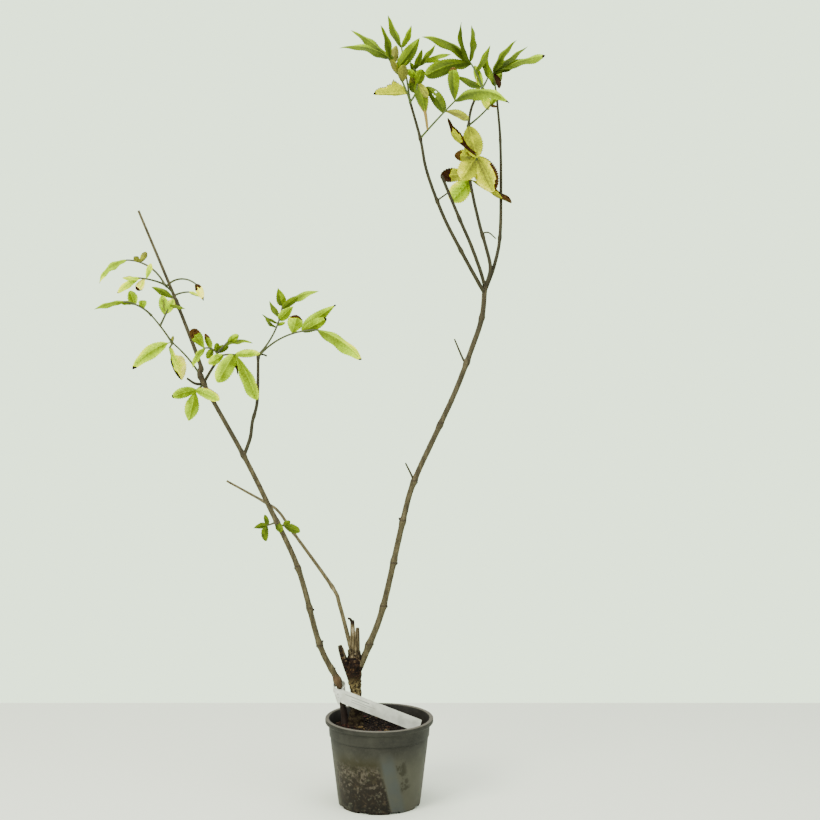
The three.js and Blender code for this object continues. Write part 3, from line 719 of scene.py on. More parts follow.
limbs = {
    "trunk": ([(-36, 12, 112), (-36, 12, 164), (-38, 13, 189), (-38, 14, 213), (-37, 14, 233)],
        [(0, 30), (0.16, 20.5), (0.5, 17), (0.66, 21), (0.8, 27), (0.95, 22), (1, 15)],
        {"bark": "trunk", "lumps": (0.25, 7), "stubs": [
            ([(-39, 14, 220), (-41, 14, 282)], [(0, 11), (0.7, 8), (1, 6)], {}),
            ([(-34, 12, 220), (-33, 11, 271)], [(0, 9.5), (0.8, 7.4), (1, 5.4)], {}),
            ([(-36, 13, 225), (-37, 13, 264)], [(0, 14), (0.6, 10), (1, 6)], {}),
            ([(-41, 14, 277), (-44, 14, 284), (-48, 14, 285)], [(0, 5), (1, 3.4)], {}),
            ([(-45, 9, 196), (-53, 6, 222), (-60, 5, 245)], [(0, 10), (0.5, 10.5), (0.85, 9), (1, 6.4)], {}),
            ([(-44, 9, 216), (-46, 8, 238)], [(0, 6), (1, 4.6)], {}),
            ([(-29, 9, 216), (-30, 6, 236)], [(0, 6), (1, 3.4)], {})]}),
    "stem_right": ([(-29, 10, 212), (-16, 12, 243), (6, 15, 303), (36, 20, 434), (53, 22, 495),
         (92, 27, 580), (116.5, 29.5, 634), (140, 32, 696), (155, 36, 742), (160, 40, 790)],
        [(0, 10.8), (0.08, 9.8), (0.5, 8.7), (1, 7.9)],
        {"bark": "stem", "nodes": [(245, 0.25), (303, 0.22), (373, 0.22), (434, 0.25), (495, 0.3),
         (581, 0.25), (675, 0.3), (742, 0.25)]}),
    "stem_left": ([(-51, 23, 112), (-58, 18, 160), (-65, 13, 191), (-91, 4, 248), (-122, -7, 367),
         (-164, -23, 465), (-200, -32, 542), (-259, -41, 655), (-263, -41, 682), (-298, -40, 777),
         (-351, -30, 905)], [(0, 17), (0.02, 10.8), (0.06, 9.2), (0.45, 7.7), (0.7, 6.2), (1, 3.5)],
        {"bark": "stem", "nodes": [(189, 0.55), (207, 0.2), (248, 0.25), (304, 0.25), (367, 0.25),
         (440, 0.25), (543, 0.35), (652, 0.55), (662, 0.6), (672, 0.5), (765, 0.45), (773, 0.5)]}),
    "stem_thin": ([(-42, 16, 232), (-60, 20, 303), (-72, 21, 333), (-130, 25, 415), (-153, 27, 448),
         (-174, 30, 462), (-232, 34, 494)], [(0, 7), (0.15, 6.5), (0.4, 5.6), (0.6, 4.9), (1, 3.4)],
        {"bark": "shoot", "nodes": [(333, 0.25), (415, 0.25), (462, 0.25)]}),
    "branch_side": ([(-200, -32, 542), (-191, -23, 568), (-188, -17, 591), (-181, -9, 623), (-180, 5, 690)],
        [(0, 5.8), (1, 4.4)], {"nodes": [(600, 0.2), (686, 0.4)], "stubs": [
            ([(-180, 4, 689), (-173, 3, 690), (-167, 2, 688)], [(0, 2.2), (1, 3)], {})]}),
    "shoot_middle": ([(-257, -41, 653), (-246, -49, 671), (-233, -60, 691)], [(0, 4.8), (1, 3.8)], {}),
    "bough_right": ([(160, 39, 783), (174, 55, 819), (183, 67, 862), (185, 84, 930), (184, 93, 1008),
         (179, 100, 1069)], [(0, 6), (1, 3.6)], {"nodes": [(862, 0.25), (1008, 0.25)]}),
    "bough_left": ([(159, 39, 780), (149, 31, 797), (123, 24, 844), (96, 17, 897), (72, 2, 961),
         (62, -8, 1010), (47, -20, 1063)], [(0, 6.2), (1, 4)],
        {"nodes": [(844, 0.25), (918, 0.3), (1010, 0.35)]}),
    "bough_back": ([(160, 40, 786), (168, 47, 816), (161.5, 52, 848), (152, 58, 881), (140, 64, 934),
         (134, 68, 980), (135, 70, 1029), (141, 68, 1061), (156, 66, 1086)], [(0, 6), (1, 3.8)],
        {"nodes": [(865, 0.3), (1029, 0.4)]}),
    "bough_middle": ([(160, 40, 788), (152, 37, 815), (137, 33, 855), (121, 29, 891), (94, 20, 955)],
        [(0, 5.8), (1, 4.8)], {"nodes": [(891, 0.3)]}),
    "stub_left": ([(-258, -41, 650), (-270, -46, 652), (-281, -50, 660)], [(0, 4.8), (1, 3.2)], {}),
    "twig_right_low": ([(52, 22, 494), (50, 20, 503), (40, 18, 524)], [(0, 3.8), (1, 2.4)], {}),
    "twig_right_high": ([(131, 31, 674), (126, 36, 682), (114, 40, 710)], [(0, 3.8), (1, 2.4)], {}),
    "twig_bough_back": ([(154, 57, 868), (165, 50, 870), (176, 45, 861)], [(0, 2.8), (1, 2)], {}),
    "stalk_bough_left": ([(86, 11, 918), (104, 5, 931)], [(0, 3), (1, 2.4)], {}),
}


def curvePoints(path, every):
    # evenly spaced points on a smooth curve through the path's points
    points = [Vector(p) for p in path]
    points = [2 * points[0] - points[1]] + points + [2 * points[-1] - points[-2]]
    fine = []
    for a, b, c, d in zip(points, points[1:], points[2:], points[3:]):
        for step in range(24):
            t = step / 24
            fine.append(0.5 * (2 * b + (c - a) * t + (2 * a - 5 * b + 4 * c - d) * t * t
                               + (3 * b - a - 3 * c + d) * t ** 3))
    fine.append(points[-2])
    lengths = [(b - a).length for a, b in zip(fine, fine[1:])]
    count = max(2, round(sum(lengths) / every))
    spaced = []
    reached, segment = 0.0, 0
    for i in range(count + 1):
        target = sum(lengths) * i / count
        while segment < len(lengths) - 1 and reached + lengths[segment] < target:
            reached += lengths[segment]
            segment += 1
        spaced.append(fine[segment].lerp(fine[segment + 1], (target - reached) / lengths[segment]))
    return spaced


def makeLimb(name, limb):
    path, diameters, more = limb
    centres = curvePoints(path, bark["ringEvery"])
    last = len(centres) - 1
    radii = []
    for i, centre in enumerate(centres):
        radius = between(diameters, i / last) / 2
        # a node makes the limb stouter near its height
        swelling = sum(swell * math.exp(-((centre.z - height) / (0.9 * radius + 1.5)) ** 2)
                       for height, swell in more.get("nodes", []))
        radii.append(radius * (1 + swelling))
    choose()
    bpy.ops.curve.primitive_nurbs_path_add()
    curve = bpy.context.object
    curve.data.splines.clear()
    spline = curve.data.splines.new("POLY")
    spline.points.add(last)
    for point, centre, radius in zip(spline.points, centres, radii):
        point.co = (*(centre * mm), 1)
        point.radius = radius * mm
    curve.data.bevel_depth = 1
    curve.data.bevel_resolution = bark["bevelResolution"]
    curve.data.use_fill_caps = True
    bpy.ops.object.convert(target="MESH")
    piece = bpy.context.object
    piece.name = name
    roughen(piece, centres, radii, *more.get("lumps", (0.03, 12)))
    return piece


def roughen(piece, centres, radii, lumpShare, lumpSize):
    # ridges along the limb, lumps on an old one, and pores that stand out of young bark
    tree = KDTree(len(centres))
    for ring, centre in enumerate(centres):
        tree.insert(centre, ring)
    tree.balance()
    wide, long = bark["ridgeSize"]
    for vertex in piece.data.vertices:
        spot = vertex.co / mm
        centre, ring, _ = tree.find(spot)
        radius = radii[ring]
        out = spot - centre
        ridge = noise.noise(Vector((spot.x / wide, spot.y / wide, spot.z / long)))
        lump = noise.fractal(spot / lumpSize, 0.8, 2.0, 3)
        cell = noise.voronoi(Vector((spot.x, spot.y, spot.z * 0.5)) / bark["lenticelEvery"])[0][0]
        pore = max(0, 1 - cell / bark["lenticelReach"]) * bark["lenticel"]
        share = bark["ridge"] * ridge + lumpShare * lump + pore / radius
        vertex.co = (spot + out * share) * mm


def barkMaterial(name, streak, tones, pore, scar, bands=()):
    # thin grey-brown bark: tones run along the limb in streaks, with small pale pores and dark scars
    material, tree, shader = newMaterial(name, {"Roughness": 0.85, "IOR": 1.45})
    place = (addNode(tree, "TexCoord"), "Object")
    split = addNode(tree, "SeparateXYZ", {}, {"Vector": place})
    along = addNode(tree, "Mapping", {"Scale": (1, 1, 0.22)}, {"Vector": place})
    long = addNode(tree, "TexNoise", {"Scale": perMm(streak), "Detail": 6, "Roughness": 0.65},
                   {"Vector": along})
    pores = addNode(tree, "TexVoronoi", {"Scale": perMm(bark["lenticelEvery"])}, {"Vector": place})
    scars = addNode(tree, "TexNoise", {"Scale": perMm(9), "Detail": 4}, {"Vector": place})
    layers = []
    for tint, pattern, none, full, share in ((pore, pores, 0.2, 0.1, 0.35), (scar, scars, 0.58, 0.72, 0.75)):
        settings = {"From Min": none, "From Max": full, "To Max": share}
        layers.append((tint, addNode(tree, "MapRange", settings, {"Value": pattern})))
    layers += [(tint, bandMask(tree, (split, "Z"), inMm(*band), share)) for band, tint, share in bands]
    base = addNode(tree, "ValToRGB", {"stops": tones}, {"Fac": long})
    dress(shader, layered(tree, base, layers), long, 0.35)
    return material


def trunkBark():
    # old bark: tan and cracked low down, almost black and knobby at the head where it was cut back
    material, tree, shader = newMaterial("oldCorkyBark", {
        "Roughness": 0.9, "IOR": 1.45, "Specular IOR Level": 0.2})
    place = (addNode(tree, "TexCoord"), "Object")
    split = addNode(tree, "SeparateXYZ", {}, {"Vector": place})
    crust = addNode(tree, "TexNoise", {"Scale": perMm(4.5), "Detail": 7, "Roughness": 0.7}, {"Vector": place})
    along = addNode(tree, "Mapping", {"Scale": (1, 1, 0.16)}, {"Vector": place})
    fibre = addNode(tree, "TexNoise", {"Scale": perMm(3.2), "Detail": 4}, {"Vector": along})
    low, head, stub = [addNode(tree, "ValToRGB", {"stops": stops}, {"Fac": pattern}) for pattern, stops in (
        (crust, [(0.38, "#120c05"), (0.47, "#3c321c"), (0.55, "#716440"), (0.66, "#a3956c")]),
        (crust, [(0.38, "#040100"), (0.48, "#100602"), (0.56, "#26160a"), (0.65, "#4c3922")]),
        (fibre, [(0.38, "#2d2616"), (0.5, "#574c33"), (0.62, "#857a5f")]))]
    uneven = addNode(tree, "Math", {"operation": "MULTIPLY_ADD", 1: 90 * mm}, {0: crust, 2: (split, "Z")})
    # the dark head, the pale stubs over it, and the broken stub at the side, which stays dark
    onHead, onStub, inner = [
        addNode(tree, "MapRange", {"From Min": none * mm, "From Max": full * mm, "To Min": least},
                {"Value": source})
        for source, none, full, least in ((uneven, 234, 241, 0), (uneven, 272, 286, 0),
                                          ((split, "X"), -55, -51, 0.35))]
    pale = meeting(tree, onStub, inner)
    # painted shade: the pale stubs are darker on their right side, away from the light from the left
    middle = bandMask(tree, (split, "X"), inMm(-35, -33, 0, 1), 0.45)
    layers = [(head, onHead), (stub, pale), ("#241b0e", meeting(tree, pale, middle))]
    for band, tint, share in (((0, 1, 154, 164), "#130904", 0.85), ((274, 279, 400, 401), "#160b06", 0.9)):
        layers.append((tint, bandMask(tree, (split, "Z"), inMm(*band), share)))
    dress(shader, layered(tree, low, layers), crust, 1.6)
    return material


# The stout stems are darker at the soil and high up, and have a dark ring at each of these heights
stemBands = [((0, 1, 158, 168), "#1c0c06", 0.9), ((174, 182, 192, 202), "#523318", 0.5),
             ((500, 560, 760, 860), "#1e190a", 0.3)]
stemBands += [((z - 2, z - 0.8, z + 0.8, z + 2), "#241708", 0.6) for z in (246, 305, 371, 436, 497, 584)]
barks = {
    "trunk": trunkBark(),
    "stem": barkMaterial("youngStemBark", 5, [
        (0.34, "#2f2915"), (0.48, "#423b22"), (0.6, "#534b31"), (0.72, "#6a6144")],
        "#6f6747", "#352c18", stemBands),
    "shoot": barkMaterial("paleShootBark", 4, [
        (0.34, "#3c351f"), (0.48, "#534a2f"), (0.6, "#685d40"), (0.72, "#807556")], "#857c5e", "#3a301c"),
    "bough": barkMaterial("greyBoughBark", 3.5, [
        (0.34, "#211d06"), (0.5, "#2d2911"), (0.64, "#38331a"), (0.74, "#453f26")], "#4b452d", "#2f2a17"),
}
slots = {"trunk": "trunk_bark", "stem": "stem_bark", "shoot": "stem_bark", "bough": "bough_bark"}


def makeLimbs():
    for name, limb in limbs.items():
        kind = limb[2].get("bark", "bough")
        parts = [makeLimb(name + "_bark", limb)]
        parts += [makeLimb(name + "_stub", stub) for stub in limb[2].get("stubs", [])]
        piece = joinPieces(parts, name + "_bark")
        smooth(piece, 50)
        paint(piece, barks[kind])
        standsFor(piece, slots[kind], name)


# Buds on the nodes of the stout stems: height in mm, side (1 right, -1 left) and size in mm
bud = {"stretch": (0.8, 0.8, 1.35), "tilt": 0.5}
buds = {
    "stem_right": [(245, 1, 1.5), (303, 1, 1.7), (370, 1, 1.7), (437, -1, 2.1), (493, 1, 1.5)],
    "stem_left": [(207, 1, 1.6), (243, -1, 1.5), (252, 1, 2.2), (302, 1, 1.8), (367, -1, 1.4)],
}


def budMaterial():
    # dry bud scales: nearly black, with paler brown edges
    material, tree, shader = newMaterial("dryBudScale", {"Roughness": 0.8, "IOR": 1.45})
    place = (addNode(tree, "TexCoord"), "Object")
    scales = addNode(tree, "TexNoise", {"Scale": perMm(1.2), "Detail": 3}, {"Vector": place})
    tone = addNode(tree, "ValToRGB", {"stops": [(0.42, "#0a0502"), (0.62, "#2c1b0d")]}, {"Fac": scales})
    dress(shader, tone, scales, 0.3)
    return material


def makeBuds():
    material = budMaterial()
    for name, places in buds.items():
        path, diameters, _ = limbs[name]
        centres = curvePoints(path, bark["ringEvery"])
        parts = []
        for height, side, size in places:
            ring = min(range(len(centres)), key=lambda i: abs(centres[i].z - height))
            out = between(diameters, ring / (len(centres) - 1)) / 2 + 0.5 * size
            choose()
            bpy.ops.mesh.primitive_uv_sphere_add(segments=12, ring_count=8, radius=size * mm)
            parts.append(bpy.context.object)
            bpy.ops.object.mode_set(mode="EDIT")
            bpy.ops.mesh.select_all(action="SELECT")
            bpy.ops.transform.resize(value=bud["stretch"])
            bpy.ops.transform.rotate(value=-bud["tilt"] * side, orient_axis="Y", center_override=(0, 0, 0))
            bpy.ops.transform.translate(value=(centres[ring] + Vector((side * out, -0.2 * out, 0))) * mm)
            bpy.ops.object.mode_set(mode="OBJECT")
        piece = joinPieces(parts, name + "_buds")
        smooth(piece, 60)
        paint(piece, material)
        standsFor(piece, "stem_bark")


makeLimbs()
makeBuds()
print("limbs made")


# Sprays: the limb and the height that each grows from, its group and its stalks. A stalk starts from
# the limb, or from an earlier stalk at a fraction of that one's length. Then come its shape, which is
# heading, turn, lean and length, and its leaflets: the place along the stalk, heading, length, the
# width that it shows from the front, lean, turn, look and form

sprays = {
    "leaves_left_tip": ("stem_left", 786, "left", [
        (None, (130, 0, 36, 20), []),
        ((0, 1), (116, 66, -16, 74), [
            (1, 179, 58, 10, 20, 84, "oliveLong", "lance"), (0.7, 134, 14, 8, 30, 0, "oliveDry", "spoon"),
            (0.7, 62, 19, 9, -25, 0, "oliveDry", "far")]),
        ((0, 0.95), (150, 24, 34, 45), [
            (1, 200, 38, 10, 10, 30, "pale", "oval"), (0.72, 76, 26, 8, -30, 0, "paleLime", "far"),
            (0.78, 238, 21, 12, 20, 0, "creamDark", "far"), (0.95, 172, 28, 5, 35, 10, "paleTan", "oval")]),
        ((0, 0.75), (52, -92, 24, 56), [
            (1, 300, 28, 11, 25, -6, "creamBrown", "near"),
            (0.98, 285, 14, 5, -20, 0, "creamBrown", "lance")])]),
    "leaf_left_small": ("stem_left", 781, "left", [
        (None, (28, -30, -24, 24), [(1, 352, 17, 4, -10, -34, "paleTan", "lance")])]),
    "leaves_left_long": ("stem_left", 664, "left", [
        (None, (118, 20, 14, 66), [
            (1, 191, 71, 20, 12, 46, "limeTip", "petioled"), (1, 77, 10, 4, -20, 0, "oliveDry", "oval")]),
        ((0, 1), (120, 10, 10, 50), []),
        ((1, 1), (130, 45, 8, 46), [
            (1, 176, 44, 7, 15, 36, "olive", "lance"), (0.7, 166, 26, 5, -15, 16, "olive", "lance"),
            (0.64, 112, 22, 15, -20, 0, "fresh", "oval"), (0.34, 94, 14, 12, 25, 0, "fresh", "far")]),
        ((1, 0.6), (63, 6, -4, 48), [
            (0.95, 140, 35, 9, 15, 24, "green", "lance"), (0.4, 98, 29, 15, 12, 0, "limeTan", "oval"),
            (0.45, 62, 23, 13, 6, 0, "brightLime", "oval"), (0.72, 352, 27, 4, 25, -10, "green", "lance")]),
        ((0, 0.97), (236, 0, -8, 9), [(1, 284, 55, 21, -20, 6, "yellowRagged", "late")])]),
    "leaf_left_three": ("stem_left", 650, "left", [
        (None, (212, 0, 48, 20), [
            (1, 184, 37, 16, 20, 20, "freshTip", "oval"), (1, 256, 48, 22, -8, 0, "fresh", "spoon"),
            (1, 350, 42, 16, 22, -18, "yellow", "oval")])]),
    "leaves_left_middle": ("shoot_middle", 691, "left", [
        (None, (92, 100, 10, 29), [
            (1, 122, 34, 17, 10, 0, "freshBrown", "far"), (0.66, 116, 27, 9, -30, 0, "freshBrown", "oval"),
            (0.97, 210, 37, 9, 25, 56, "fresh", "lance"), (0.42, 18, 24, 11, -35, 0, "green", "oval"),
            (0.4, 74, 16, 8, 30, 0, "green", "oval"), (0.6, 240, 16, 10, 10, 0, "green", "oval")]),
        ((0, 0.12), (22, -26, 30, 31), [
            (0.9, 240, 50, 25, 28, 0, "fresh", "oval"), (1, 8, 36, 12, -12, -12, "yellowPink", "oval"),
            (1, 304, 73, 19, 8, -16, "fresh", "far"), (0.97, 278, 36, 5, -28, -6, "deadHalf", "lance"),
            (0.3, 208, 29, 14, 40, 0, "freshYellow", "oval")]),
        ((0, 0.3), (46, 0, -22, 24), [
            (1, 33, 21, 10, 20, 0, "fresh", "oval"),
            (0.6, 48, 48, 3, -15, -84, "greenToYellow", "lance")])]),
    "leaves_side_upright": ("branch_side", 689, "left", [
        (None, (45, 38, -20, 87), [
            (0.68, 156, 28, 3, 10, -10, "deepOlive", "lance"),
            (0.6, 150, 27, 3, -35, -10, "deepOlive", "lance"), (0.78, 125, 32, 7, -25, 0, "green", "lance"),
            (1, 104, 27, 15, 0, 0, "topGreen", "near"), (0.98, 44, 64, 9, -20, -44, "fresh", "lance"),
            (0.94, 42, 33, 11, 20, -12, "green", "oval"), (0.74, 44, 34, 15, 25, 0, "fresh", "near"),
            (0.64, 16, 13, 5, -20, 0, "fresh", "oval")])]),
    "leaf_side_arching": ("branch_side", 686, "left", [
        (None, (52, -52, 24, 116), [
            (1, 345, 80, 17, 14, -36, "oliveTip", "oval"), (0.63, 78, 29, 24, -18, 0, "brownPatch", "far"),
            (0.78, 44, 63, 20, -12, -12, "oliveSpots", "near"),
            (0.78, 25, 40, 16, -4, 6, "oliveSpots", "oval")])]),
    "leaf_low_left": ("stem_left", 440, "left", [
        (None, (196, 0, 24, 17), [
            (1, 172, 21, 9, 20, 30, "lowOlive", "near"), (0.9, 108, 17, 7, -20, 0, "lowOlive", "oval"),
            (1, 240, 24, 11, 10, 56, "lowOlive", "oval"), (0.2, 312, 20, 11, 40, 0, "lowOlive", "oval")])]),
    "leaf_low_right": ("stem_left", 437, "left", [
        (None, (340, 10, 10, 11), [
            (1, 344, 25, 13, 12, -6, "lowOlive", "oval"), (0.9, 34, 13, 9, -35, 0, "lowOlive", "oval")])]),
    "leaves_top_left": ("bough_left", 1062, "top", [
        (None, (106, 22, 12, 75), [
            (1, 143, 74, 11, 12, 54, "topLit", "near"), (0.97, 129, 71, 13, -14, 28, "topLit", "near"),
            (0.9, 84, 56, 9, 18, 42, "topDark", "lance"), (0.7, 50, 58, 19, 12, 6, "topDark", "lance"),
            (0.84, 78, 32, 13, -30, 0, "softOlive", "oval"),
            (0.2, 182, 50, 25, 10, 0, "yellowEdge", "stepped"),
            (0.45, 86, 30, 15, 40, 0, "softOlive", "oval"), (0.66, 46, 24, 7, 10, 0, "deepOlive", "lance"),
            (0.6, 118, 26, 9, 25, 0, "softOlive", "oval")]),
        ((0, 0.02), (98, 2, -20, 87), [
            (1, 110, 52, 10, -10, 6, "topLit", "lance"), (1, 62, 35, 9, 10, 6, "topGreen", "lance")]),
        ((0, 0.03), (44, 76, -6, 50), [
            (1, 68, 34, 9, 20, 0, "topDark", "lance"), (0.6, 290, 74, 22, 18, -16, "droopTail", "tailed"),
            (0.94, 262, 30, 14, -30, 0, "softOlive", "oval"),
            (0.34, 114, 28, 13, -40, 0, "deepOlive", "oval"), (0.94, 355, 18, 6, -30, 0, "olive", "lance"),
            (0.55, 74, 26, 15, 25, 0, "green", "oval"), (0.62, 304, 28, 13, 20, 0, "oliveDry", "oval"),
            (0.94, 116, 16, 7, 0, 0, "deepOlive", "lance"), (0.8, 150, 20, 10, 30, 0, "olive", "oval")]),
        ((2, 1), (44, 0, -20, 16), [
            (0.5, 50, 42, 8, 10, 0, "topDark", "lance"), (1, 40, 48, 8, -12, -46, "olive", "lance")])]),
    "leaf_top_front": ("bough_left", 1010, "top", [
        (None, (49, -4, 22, 79), [
            (0.7, 107, 51, 18, -25, 34, "freshHoles", "oval"),
            (0.72, 8, 42, 12, 25, -56, "oliveEnd", "far"), (1, 93, 50, 18, -10, 0, "greenBrownTop", "far"),
            (1, 44, 90, 17, 14, -92, "greenToYellow", "lance")])]),
    "leaves_top_back": ("bough_back", 1085, "top", [
        (None, (104, 22, -10, 45), [
            (1, 121, 86, 14, 8, 64, "topLit", "lance"), (1, 87, 56, 8, -12, 0, "deep", "lance"),
            (0.96, 180, 76, 25, 20, 34, "broadLit", "far"), (0.92, 186, 61, 13, 4, -22, "deepTip", "lance"),
            (0.6, 62, 45, 9, 6, 0, "topDark", "lance"), (0.9, 121, 68, 7, 20, -32, "deep", "lance"),
            (0.08, 162, 43, 11, -20, -14, "deep", "lance"), (0.1, 108, 35, 12, -20, 0, "limeTan", "oval"),
            (0.5, 270, 38, 6, -25, 8, "paleDead", "lance"), (0.05, 287, 36, 14, -15, 0, "pale", "oval")]),
        ((0, 0.05), (50, 20, -8, 18), [(1, 96, 37, 10, -5, 0, "topDark", "lance")])]),
    "leaves_top_right": ("bough_right", 1068, "top", [
        (None, (98, 0, 8, 45), [
            (1, 70, 61, 10, 20, -34, "topDark", "near"), (0.95, 45, 66, 9, -6, -16, "topDark", "near"),
            (0.98, 26, 82, 12, 8, -18, "topTip", "far"), (0.92, 314, 29, 12, 30, -50, "deadDark", "far"),
            (0.5, 104, 38, 9, -35, 0, "green", "lance"), (0.55, 62, 40, 12, -50, 0, "green", "lance"),
            (0.9, 28, 46, 6, -20, -10, "green", "lance")])]),
    "leaves_yellow": ("bough_back", 1028, "yellow", [
        (None, (304, -36, 6, 48), [
            (0.97, 178, 34, 20, 6, 0, "yellowBrownEdge", "oval"),
            (0.97, 236, 43, 32, 16, 0, "softLime", "oval"), (1, 301, 58, 37, 2, -10, "palest", "oval")]),
        ((0, 0), (330, 0, 75, 9), [(1, 280, 48, 31, 8, 8, "paleOlive", "oval")]),
        ((0, 1), (120, 0, 70, 16), [(1, 149, 73, 18, 20, -40, "curledBrown", "boat")]),
        ((0, 1), (258, -8, -10, 37), [
            (1, 227, 46, 31, 24, 0, "brightLime", "oval"), (0.96, 146, 47, 25, -5, 62, "darkEnd", "far"),
            (0.97, 331, 73, 11, -6, 0, "paleTail", "far")])]),
    "leaf_top_small": ("bough_back", 1030, "top", [
        (None, (36, 14, 12, 47), [
            (1, 62, 14, 9, 10, 0, "oliveSpots", "oval"), (0.95, 350, 11, 6, -20, 0, "dead", "oval")])]),
}

# A form is two powers, of the share from the root and of the share from the tip, or else points
# (share of the length, share of the full width)
forms = {
    "lance": (0.8, 1.0),
    "near": (0.55, 1.1),
    "oval": (0.65, 0.62),
    "far": (1.1, 0.6),
    "petioled": [(0, 0.06), (0.1, 0.08), (0.2, 0.62), (0.33, 0.94), (0.48, 1), (0.66, 0.88), (0.82, 0.6),
                 (0.94, 0.3), (1, 0.06)],
    "spoon": [(0, 0.08), (0.12, 0.2), (0.26, 0.55), (0.45, 0.94), (0.62, 1), (0.78, 0.82), (0.91, 0.45),
              (1, 0.05)],
    "late": [(0, 0.1), (0.1, 0.28), (0.27, 0.36), (0.36, 0.78), (0.5, 1), (0.66, 1), (0.8, 0.8), (0.92, 0.5),
             (1, 0.1)],
    "stepped": [(0, 0.1), (0.08, 0.45), (0.3, 0.85), (0.4, 1), (0.46, 0.7), (0.56, 0.66), (0.62, 0.5),
                (0.8, 0.46), (0.93, 0.3), (0.97, 0.12), (1, 0.05)],
    "tailed": [(0, 0.3), (0.1, 0.75), (0.25, 1), (0.42, 0.82), (0.54, 0.5), (0.62, 0.24), (0.9, 0.18),
               (1, 0.08)],
    "boat": [(0, 0.3), (0.25, 0.36), (0.4, 0.6), (0.56, 1), (0.68, 0.86), (0.8, 0.42), (0.93, 0.3), (1, 0.1)],
}

# Leaf colours run from deep green to cream, and then through the browns of dry leaf
leafTints = [
    ("leafDeepGreen", "#35440d"), ("leafDarkGreen", "#404f11"), ("leafMidGreen", "#4b5c12"),
    ("leafGrassGreen", "#56690b"), ("leafFreshGreen", "#647a06"), ("leafYellowGreen", "#738f02"),
    ("leafLime", "#86a500"), ("leafLemonGreen", "#99ba00"), ("leafPaleLime", "#b0cf00"),
    ("leafPaleYellow", "#d0e000"), ("leafButter", "#ebee2c"), ("leafCream", "#f8f268"),
]
dryTints = [("leafDryTan", "#826e38"), ("leafDryBrown", "#4d3612"), ("leafDarkBrown", "#2c1604"),
            ("leafBlackBrown", "#120702"), ("leafDryGrey", "#7d7c42"), ("leafOliveDry", "#5d632a")]
goldTints = [("leafGoldOlive", "#666728"), ("leafGoldMoss", "#7d8124"), ("leafGoldSoft", "#939b18"),
             ("leafGold", "#adb40c"), ("leafGoldPale", "#cacb16"), ("leafGoldCream", "#eae650")]
